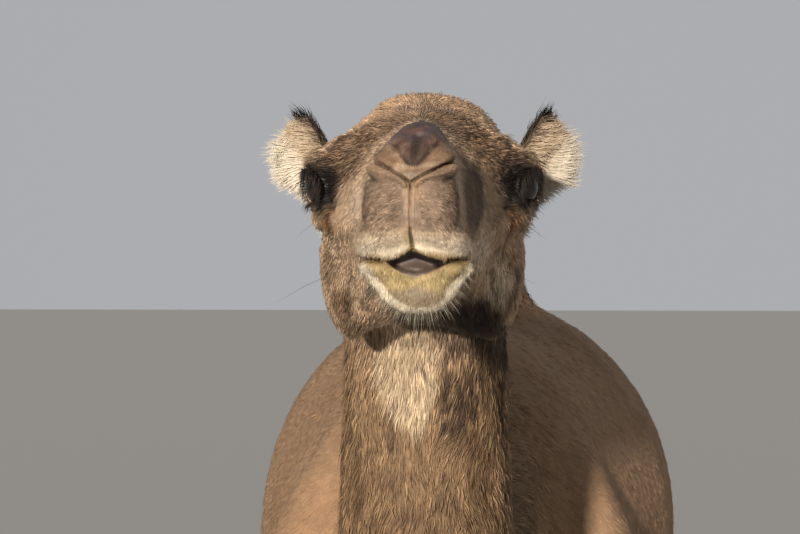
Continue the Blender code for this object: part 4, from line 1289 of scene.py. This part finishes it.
def gathered(root, tip, normals, share, every):
    """The tips, drawn towards those of every so many tufts to stand in locks, and whose lock each is in."""
    heads = CHANCE.choice(len(root), max(1, len(root) // every), replace=False)
    tree = KDTree(len(heads))
    for n, place in enumerate(root[heads].tolist()):
        tree.insert(place, n)
    tree.balance()
    lock = np.array([heads[tree.find(place)[1]] for place in root.tolist()])
    share = share * (dot(normals, normals[lock]) > 0.6)
    return mix(tip, tip[lock] + 0.25 * (root - root[lock]), share), lock


def tuft_mesh(name, tufts, short):
    """One closed tapering sliver for each tuft, with a bend in it unless short.

    tufts holds arrays: root, bend and tip, the ways across and over the sliver, its width, its tint, the
    skin's normal, how much of its own normals' shading it keeps, and its place on the map.
    """
    pattern, faces = (SHORT_TUFT, SHORT_FACES) if short else (LONG_TUFT, LONG_FACES)
    root, bend, tip, across, over = (tufts[key][:, None] for key in ("root", "bend", "tip", "across", "over"))
    ring, wide, high = pattern[:, 0], pattern[:, 1, None], pattern[:, 2, None]
    centre = np.where((ring == 0)[:, None], root, np.where((ring == 1)[:, None], bend, tip))
    fat = TAPER[ring][:, None] * tufts["width"][:, None, None] / 2
    points = centre + (across * wide + over * high * 0.8) * fat
    count = len(root)
    corners = (faces[None] + len(pattern) * np.arange(count)[:, None, None]).reshape(-1)
    mesh = bpy.data.meshes.new(name)
    mesh.vertices.add(points.shape[0] * points.shape[1])
    put(mesh, points)
    mesh.loops.add(len(corners))
    mesh.loops.foreach_set("vertex_index", corners.astype(np.int32))
    mesh.polygons.add(len(corners) // 3)
    mesh.polygons.foreach_set("loop_start", np.arange(0, len(corners), 3, dtype=np.int32))
    mesh.update(calc_edges=True)
    mesh.shade_smooth()
    own = np.repeat(tufts["own"], len(pattern))[:, None]
    under = np.repeat(tufts["normal"], len(pattern), 0)
    soft = unit(got(mesh.vertices, "normal", 3) * own + under * (1.15 - own))
    mesh.normals_split_custom_set_from_vertices(soft.tolist())
    # painted shade towards each tuft's root
    shade = PAINTED_ROOT_SHADE[ring][None, :, None]
    colour_points(mesh, (tufts["tint"][:, None] * shade).reshape(-1, 3))
    patch = np.stack([wide[:, 0] * (1 - 0.2 * ring), ring / 2 + 0.15 * high[:, 0]], 1) * (0.5, 1) * PATCH
    spots = (tufts["map"][:, None] + patch).reshape(-1, 2)
    layer = mesh.uv_layers.new(name="OFBake")
    layer.data.foreach_set("uv", spots[corners].astype(np.float32).ravel())
    return mesh


# Where along the body the hind legs' half begins
BETWEEN_LEGS = (CAD_BOX[0][1] + CAD_BOX[1][1]) / 2 + 0.45
# More than a full turn, so that one of a pair lies beside the other on the map
BESIDE = 7


def unrolled(points, region):
    """Each root's place on the region's own shape, cut open and laid flat; paired parts lie side by side."""
    q = head_measures(points)
    if region == "head":
        around = np.arctan2(q[:, 1], q[:, 2] + 0.03)
        along = np.hypot(q[:, 1], q[:, 2] + 0.03) - q[:, 0]
    elif region == "ear":
        _, facing, _, height, out = ear_frame(q)
        around = np.arctan2(out, (q * facing).sum(1) + 0.125) + BESIDE * (q[:, 1] < 0)
        along = height
    elif region in ("thigh", "shank", "foot"):
        leg = 2 * (points[:, 1] < BETWEEN_LEGS) + (points[:, 0] < 0)
        around = np.zeros(len(points))
        for n in np.unique(leg):
            mine = leg == n
            ahead, aside = points[mine, 1], points[mine, 0]
            around[mine] = np.arctan2(aside - aside.mean(), ahead - ahead.mean()) + BESIDE * n
        along = points[:, 2]
    else:
        along, _, around = on_spine(points)
        along = along if region != "tail" else points[:, 2]
    flat = np.stack([around, along], 1)
    low, high = flat.min(0), flat.max(0)
    return 0.01 + 0.97 * (flat - low) / (high - low + 1e-6)


def pick(tufts, chosen):
    """Some of the tufts."""
    return {key: values[chosen] for key, values in tufts.items()}


def add_coat(name, tufts, short, region, paint):
    """The coat of one region, in as few pieces as hold its triangles."""
    each = len(SHORT_FACES) if short else len(LONG_FACES)
    pieces = max(1, math.ceil(len(tufts["root"]) * each / MOST_TRIANGLES))
    order = np.argsort(unrolled(tufts["root"], region)[:, 1])
    for n, chosen in enumerate(np.array_split(order, pieces)):
        part = pick(tufts, chosen)
        part["map"] = unrolled(part["root"], region)
        mesh = tuft_mesh(f"{name}_{n + 1}" if pieces > 1 else name, part, short)
        mesh.materials.append(paint)
        piece(mesh, COAT_SLOTS[region])


def styles(surface, bare):
    """For each point of the skin: how densely its hair grows, and the six measures of STYLES after that."""
    density, length, width, stand, wave, fine, locks = (
        by_region(surface.shares, dict(zip(STYLES, column))) for column in zip(*STYLES.values())
    )
    q, points, normals = surface.q, surface.points, surface.normals
    head, ear, tail = (share_of(surface.shares, name) for name in ("head", "ear", "tail"))
    _, head_length, head_stand = combed(q)
    _, _, _, height, out = ear_frame(q)
    # 1 on the front of the head, where the hair is finest, and 0 on its back
    seen = rise(-0.10, -0.02, q[:, 0])
    density = density + head * mix(70_000, 370_000, seen)
    length = length + 0.085 * tail * tail_tuft(points)
    length = length * (1 + 0.6 * ear * rise(0.055, 0.085, height) * rise(0.0, 0.015, out))
    length = length + head * head_length
    thicker = 0.0001 * pad_share(q, 0.29, 0.31, -0.055, -0.045)
    slender = 0.00060 + 0.035 * head_length + thicker + 0.0003 * brows(points)
    width = width + head * mix(0.0015, slender, seen)
    stand = stand + head * head_stand
    sole = rise(-0.5, -0.8, normals[:, 2]) * (points[:, 2] < 0.05)
    density = density * (1 - bare) * (1 - sole) * COAT_SHARE
    return density, (length, width, stand, wave, fine, locks)


def grow(surface, bare):
    """All tufts of the coat: where they root, how they lie and what colour they are."""
    density, measures = styles(surface, bare)
    place = surface.scatter(density)
    root = sampled(surface.points, place)
    normals = unit(sampled(surface.normals, place))
    shares = sampled(surface.shares, place)
    ear = share_of(shares, "ear")
    length, width, stand, wave, fine, locks = (sampled(v, place)[:, None] for v in measures)
    luck = CHANCE.normal(size=(len(root), 6))
    length = length * np.clip(1 + 0.22 * luck[:, :1], 0.5, 1.6)
    straight = (CHANCE.random((len(root), 1)) < fine) | (length < STRAIGHT_BELOW)
    width = width * np.where(straight & (fine > 0.1), THINNER, 1)
    width = width * np.clip(1 + 0.2 * luck[:, 1:2], 0.6, 1.5) / WIDTH_SHARE
    way = lie(root, normals, shares)
    rising = np.clip(stand + 0.10 * luck[:, 2:3], 0.04, 1.2)
    aside = np.cross(normals, way)
    first = unit(way * np.cos(rising) + normals * np.sin(rising) + wave * luck[:, 3:4] * aside)
    level = rising * 0.35
    last = unit(way * np.cos(level) + normals * np.sin(level) - wave * luck[:, 4:5] * aside - 0.08 * UPWARD)
    bend = root + first * length * 0.5
    tip = bend + last * length * 0.5
    tip, lock = gathered(root, tip, normals, locks, LOCK)
    bend = mix(bend, mix(root, tip, 0.5), locks * 0.5)
    for end in (bend, tip):
        end[:, 2] = np.maximum(end[:, 2], OFF_FLOOR)
    across = unit(np.cross(tip - root, normals))
    over = unit(np.cross(tip - root, across))
    over = over * np.sign(dot(over, normals))
    across = np.cross(over, unit(tip - root))
    shade = 0.65 * luck[:, 5:6] + 0.80 * luck[lock, 5:6]
    # the ears' rims are lit through, so all their hair is shaded as if it faced the way the hollow does
    _, facing, _, _, out = ear_frame(head_measures(root))
    rim = (ear * rise(-0.010, 0.005, out))[:, None]
    soft = unit(mix(normals, facing @ HEAD_AXES, rim))
    # the tufts take the painted shade of the furrows and the painted light of the ridges under them
    tint = tints(root, normals, shares, sampled(surface.hollow, place))
    tint = tint * np.clip(1 + speckle(root, shares) * shade, 0.35, 1.9)
    return dict(
        root=root - normals * ROOTED, bend=bend, tip=tip, across=across, over=over, width=width[:, 0],
        tint=tint, normal=soft, own=0.60 - 0.15 * ear + 0.3 * brows(root),
        straight=straight[:, 0], region=shares.argmax(1),
    )


def tail_tuft(points):
    """0 on the upper tail, 1 towards its end."""
    low, high = box("tail")
    return rise(0.50, 0.20, (points[:, 2] - low[2]) / (high[2] - low[2]))


def brows(points):
    """1 on the brows, 0 elsewhere."""
    return oval(mirrored(head_measures(points)), (0.035, 0.066, 0.044), (0.07, 0.06, 0.035), 0.5)


SPECKLE = dict(
    head=0.24, ear=0.05, neck=0.26, trunk=0.09, hump=0.14, tail=0.14, thigh=0.09, shank=0.09, foot=0.09,
)


def speckle(points, shares):
    """How much neighbouring hairs differ in shade: most on the brows and neck, least on the body."""
    pads = pad_share(head_measures(points), 0.29, 0.31, -0.048, -0.038)
    more = (0.36 * brows(points) + 0.18 * pads) * share_of(shares, "head")
    return (by_region(shares, SPECKLE) + more)[:, None]


COAT_SLOTS = dict(
    head="head_coat", ear="ear_hair", neck="neck_coat", trunk="body_coat", hump="hump_coat", tail="tail_coat",
    thigh="leg_coat", shank="leg_coat", foot="leg_coat",
)


def add_coats(surface, bare):
    """The whole coat. A piece named coat has bent tufts, and one named down has straight hairs."""
    tufts = grow(surface, bare)
    paint = coat_paint()
    for n, region in enumerate(REGIONS):
        for name, straight in (("coat", False), ("down", True)):
            chosen = (tufts["region"] == n) & (tufts["straight"] == straight)
            if chosen.any():
                add_coat(f"{name}_{region}", pick(tufts, chosen), straight, region, paint)


def callous(points):
    """1 on the bare pads that a camel kneels on: its knees and its chest."""
    low, high = box("trunk")
    pads = [oval(points, (0, mix(low[1], high[1], 0.24), low[2]), (0.085, 0.13, 0.05), 0.4)]
    for side in SIDES:
        low, high = box(f"foreleg_{side}_lower")
        knee = ((low[0] + high[0]) / 2, low[1], high[2] - 0.01)
        pads.append(oval(points, knee, (0.055, 0.060, 0.085), 0.4))
    return np.max(pads, axis=0)


def bareness(surface, sculptor):
    """1 where no tufts grow: nostrils, the lip's middle, the mouth, the eyelids' rims, the callous pads."""
    q = surface.q
    bare = np.zeros(len(q))
    for places, width in ((NOSTRIL_BAND, 0.0034), (NOSTRIL, 0.0026), (PHILTRUM, 0.0052)):
        for sign in (1, -1):
            index, distance, _ = sculptor.near(sculptor.traced(np.array(places) * (1, sign, 1)), width * 1.6)
            bare[index] = np.maximum(bare[index], rise(width * 1.4, width, distance))
    inside = in_mouth(q[:, 1], q[:, 2])
    bare = np.maximum(bare, rise(-0.001, 0.0, inside) * (np.abs(q[:, 1]) < GAPE) * (q[:, 0] > 0.28))
    for sign in SIDES.values():
        reach = q - (0, sign * EYE_SPREAD, 0)
        r = np.linalg.norm(reach, axis=1)
        bare = np.maximum(bare, rise(0.0265, 0.0250, r) * rise(0.2, 0.5, (reach @ gaze_of(sign)) / r))
    dome = oval(q, (0.305, 0, 0.050), (0.06, 0.036, 0.024), 0.7)
    chin = oval(q, (0.318, 0, -0.1035), (0.03, 0.026, 0.010), 0.6)
    return np.max([bare, 0.75 * dome, 0.7 * chin, 0.95 * callous(surface.points)], axis=0)


# ---------------------------------------------------------------- eyes, lashes, whiskers, nails


def eye_axes(sign):
    """The eye's own axes: its gaze, level across it and up over it."""
    gaze = gaze_of(sign) @ HEAD_AXES
    level = unit(np.cross(UPWARD, gaze))
    return gaze, level, np.cross(gaze, level)


def add_eye(side, sign, paint):
    """An eyeball with its clear bulge, brown iris and level pupil."""
    gaze, level, lift = eye_axes(sign)
    rings, spokes = 56, 72
    angle = math.pi * (np.arange(1, rings) / rings) ** 1.4
    turn = 2 * math.pi * np.arange(spokes) / spokes
    angle, turn = (v.ravel() for v in np.meshgrid(angle, turn, indexing="ij"))
    angle, turn = np.r_[0, angle, math.pi], np.r_[0, turn, 0]
    way = np.stack([np.cos(angle), np.sin(angle) * np.cos(turn), np.sin(angle) * np.sin(turn)], 1)
    radius = EYE_RADIUS * (0.985 + 0.05 * np.exp(-((angle / 0.6) ** 4)))
    points = EYES[side] + (way * radius[:, None]) @ np.array([gaze, level, lift])
    last = len(points) - 1
    faces = [(0, 1 + n, 1 + (n + 1) % spokes) for n in range(spokes)]
    faces += [(last, last - spokes + (n + 1) % spokes, last - spokes + n) for n in range(spokes)]
    for ring in range(rings - 2):
        base = 1 + ring * spokes
        for n in range(spokes):
            m = (n + 1) % spokes
            faces.append((base + n, base + spokes + n, base + spokes + m, base + m))
    mesh = bpy.data.meshes.new(f"eyeball_{side}")
    mesh.from_pydata(points.tolist(), [], faces)
    mesh.shade_smooth()
    streak = 0.75 + 0.25 * np.sin(turn * 23 + 3 * np.sin(turn * 5))
    iris = srgb(50, 32, 21) * streak[:, None]
    colour = mix(iris, srgb(20, 13, 10), rise(0.55, 0.72, angle)[:, None])
    colour = mix(colour, srgb(78, 58, 47), rise(0.80, 0.95, angle)[:, None])
    pupil = np.hypot(angle * np.cos(turn) / 0.40, angle * np.sin(turn) / 0.20)
    colour = mix(colour, srgb(6, 5, 6), rise(1.1, 0.9, pupil)[:, None])
    colour_points(mesh, colour)
    mesh.materials.append(paint)
    piece(mesh, "eye", f"eye_{side}")


def eye_paint():
    """Wet and glossy over the painted colour."""
    paint = Paint("wet_eye", 0.12)
    paint.join(paint.attribute("tint").outputs["Color"], paint.shader.inputs["Base Color"])
    paint.set("IOR", 1.376)
    paint.set("Coat Weight", 0.6)
    paint.set("Coat Roughness", 0.03)
    return paint.material


def lid_rim(tree, side, sign, turns):
    """The skin's edge on the eyeball at each turn: its place, the way to it, and the way outward there."""
    gaze, level, lift = eye_axes(sign)
    centre = EYES[side]
    rim = []
    for turn in turns:
        out = level * math.cos(turn) + lift * math.sin(turn)
        for angle in np.linspace(0.15, 1.5, 90):
            way = gaze * math.cos(angle) + out * math.sin(angle)
            place = tree.ray_cast((centre + 0.05 * way).tolist(), (-way).tolist(), 0.05)[0]
            if place is not None and np.linalg.norm(np.array(place) - centre) > EYE_RADIUS + 0.0010:
                break
        rim.append((np.array(place) if place is not None else centre + EYE_RADIUS * way, way, out))
    return rim


def hairs(root, bend, tip, width, tint, normal):
    """Single hairs given one by one, as tufts."""
    root, bend, tip, normal = (np.array(v) for v in (root, bend, tip, normal))
    across = unit(np.cross(tip - root, normal))
    over = unit(np.cross(tip - root, across))
    count = len(root)
    return dict(
        root=root, bend=bend, tip=tip, across=np.cross(over, unit(tip - root)), over=over,
        normal=unit(normal), width=np.full(count, width), own=np.full(count, 0.8),
        tint=np.tile(tint, (count, 1)) * CHANCE.uniform(0.6, 1.5, (count, 1)),
    )


def add_hairs(name, tufts, paint):
    """Single hairs as one piece."""
    tufts["map"] = unrolled(tufts["root"], "head")
    mesh = tuft_mesh(name, tufts, False)
    mesh.materials.append(paint)
    piece(mesh, "head_coat")


def add_lashes(tree, paint):
    """Long dark lashes, which hang over the eye from the upper lid and stand out from the lower one."""
    for side, sign in SIDES.items():
        gaze = eye_axes(sign)[0]
        for name, low, high, count in (("upper", -0.08, 1.08, 420), ("lower", 1.08, 1.92, 140)):
            turns = math.pi * np.linspace(low, high, count)
            rows = []
            for place, way, out in lid_rim(tree, side, sign, turns):
                luck = CHANCE.normal(size=4)
                rear = max(0, -out @ AHEAD)
                if name == "upper":
                    root = place + 0.0015 * way * CHANCE.random() + 0.0040 * out * (CHANCE.random() - 0.2)
                    length = 0.026 * (1 - 0.6 * rear) * (1 + 0.25 * luck[1])
                    first = unit(0.42 * gaze + 0.60 * AHEAD + 0.20 * out + 0.20 * luck[2] * UPWARD)
                    last = unit(0.15 * gaze - 0.9 * UPWARD + 0.35 * AHEAD + 0.30 * luck[3] * AHEAD)
                else:
                    root = place + 0.0015 * out * luck[0]
                    length = 0.009 * (1 - 0.3 * rear) * (1 + 0.35 * luck[1])
                    first = unit(0.7 * gaze + 0.9 * out + 0.35 * luck[2] * AHEAD)
                    last = unit(0.3 * gaze + 1.0 * out + 0.35 * luck[3] * AHEAD - 0.3 * UPWARD)
                bend = root + first * length * 0.42
                rows.append((root, bend, bend + last * length * 0.58, way))
            root, bend, tip, normal = zip(*rows)
            tufts = hairs(root, bend, tip, 0.0005, srgb(44, 37, 33), normal)
            add_hairs(f"lashes_{name}_{side}", tufts, paint)


def add_whiskers(surface, paint):
    """Pale bristles round the chin and lips, and a few long ones on the cheek."""
    ahead, side, up = surface.q.T
    out = np.abs(side)
    chin = np.exp(-(((up - chin_edge(out)) / 0.009) ** 2)) * (ahead > 0.22) * 42_000
    lips = (up < -0.090) * (up > -0.12) * (ahead > 0.24) * 3_000
    place = surface.scatter(chin + lips)
    root = sampled(surface.points, place)
    normal = unit(sampled(surface.normals, place))
    q = head_measures(root)
    spread = np.stack([0 * q[:, 0], 20 * q[:, 1], 0 * q[:, 0] - 1], 1) @ HEAD_AXES
    luck = CHANCE.normal(size=(len(root), 3))
    way = unit(unit(spread) + 0.5 * normal + 0.18 * luck)
    length = 0.013 * np.exp(0.45 * CHANCE.normal(size=(len(root), 1)))
    bend = root + way * length * 0.5
    tip = bend + unit(way - 0.25 * UPWARD) * length * 0.5
    add_hairs("whiskers", hairs(root, bend, tip, 0.00021, srgb(206, 194, 170), normal), paint)


def add_long_whiskers(tree, paint):
    """Single long dark hairs on the cheeks and under the eyes."""
    # where each one roots, its way and its length
    table = (
        ((0.010, -0.086, -0.085), (0.1, -1.0, -0.45), 0.078),
        ((0.100, -0.064, -0.075), (0.2, -1.0, -0.15), 0.045),
        ((0.030, -0.100, -0.030), (0.1, -1.0, -0.75), 0.038),
        ((0.010, 0.086, -0.085), (0.1, 1.0, -0.35), 0.040),
        ((0.035, 0.100, -0.030), (0.2, 1.0, -0.80), 0.034),
        ((0.020, 0.100, -0.035), (0.1, 1.0, -0.60), 0.030),
    )
    rows = []
    for place, way, length in table:
        root, normal, _, _ = tree.find_nearest(from_head(place).tolist())
        root, way = np.array(root), unit(np.array(way)) @ HEAD_AXES
        bend = root + way * length * 0.5
        rows.append((root, bend, bend + unit(way - 0.12 * UPWARD) * length * 0.5, np.array(normal)))
    root, bend, tip, normal = zip(*rows)
    add_hairs("long_whiskers", hairs(root, bend, tip, 0.00040, srgb(70, 56, 44), normal), paint)


def nail_paint():
    """Dark horn with streaks down its length."""
    paint = Paint("horn", 0.5)
    streaks = paint.noise(150, 3, (1, 1, 0.15))
    ramp = paint.add("ShaderNodeValToRGB")
    ramp.color_ramp.elements[0].position, ramp.color_ramp.elements[1].position = 0.35, 0.65
    ramp.color_ramp.elements[0].color = (*srgb(58, 50, 44), 1)
    ramp.color_ramp.elements[1].color = (*srgb(92, 80, 69), 1)
    paint.join(streaks, ramp.inputs["Fac"])
    paint.join(ramp.outputs["Color"], paint.shader.inputs["Base Color"])
    paint.bump(streaks, 0.25, 0.0008)
    return paint.material


def add_nails():
    """Each nail, rounded off from its plain solid, with growth rings."""
    paint = nail_paint()
    for node in sorted(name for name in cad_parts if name.startswith("nail_")):
        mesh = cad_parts[node].data.copy()
        mesh.name = node.replace("nail", "horn")
        thing = added(mesh.name, mesh)
        remesh = thing.modifiers.new("remesh", "REMESH")
        remesh.mode = "VOXEL"
        remesh.voxel_size = 0.0014
        smooth = thing.modifiers.new("smooth", "SMOOTH")
        smooth.factor = 0.5
        smooth.iterations = 16
        settle(thing)
        points = got(thing.data.vertices, "co", 3)
        normals = got(thing.data.vertices, "normal", 3)
        rings = np.sin(2 * math.pi * points[:, 2] / 0.0055 + 2 * ripple(points, 0.01, 21))
        put(thing.data, points + normals * (0.00012 * rings)[:, None])
        thing.data.shade_smooth()
        thing.data.materials.clear()
        thing.data.materials.append(paint)
        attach(thing, "root")
        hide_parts(node)


# ---------------------------------------------------------------- putting it together


def main():
    finder = NodeFinder()
    skin = first_skin(finder)
    sculptor = shape_face(skin)
    # the sculptor's painted shade in furrows and painted light on ridges go on to the colours
    surface = Surface(skin, finder, sculptor.hollow)
    bare = bareness(surface, sculptor)
    sink(surface)
    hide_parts(*FLESH)
    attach(skin, "root")
    skin.data.shade_smooth()
    tint = tints(surface.points, surface.normals, surface.shares, surface.hollow)
    colour_points(skin.data, tint * SKIN_SHADE)
    dull = skin.data.attributes.new("dull", "FLOAT", "POINT")
    dull.data.foreach_set("value", (0.8 - 0.3 * bare).astype(np.float32))
    skin.data.materials.clear()
    skin.data.materials.append(skin_paint())
    add_coats(surface, bare)
    for side, sign in SIDES.items():
        add_eye(side, sign, eye_paint())
    tree = BVHTree.FromPolygons(surface.points.tolist(), surface.faces.tolist())
    bristles = coat_paint()
    add_lashes(tree, bristles)
    add_whiskers(surface, bristles)
    add_long_whiskers(tree, bristles)
    add_nails()
    add_camera()
    add_floor()
    add_sky()
    add_sun()


main()
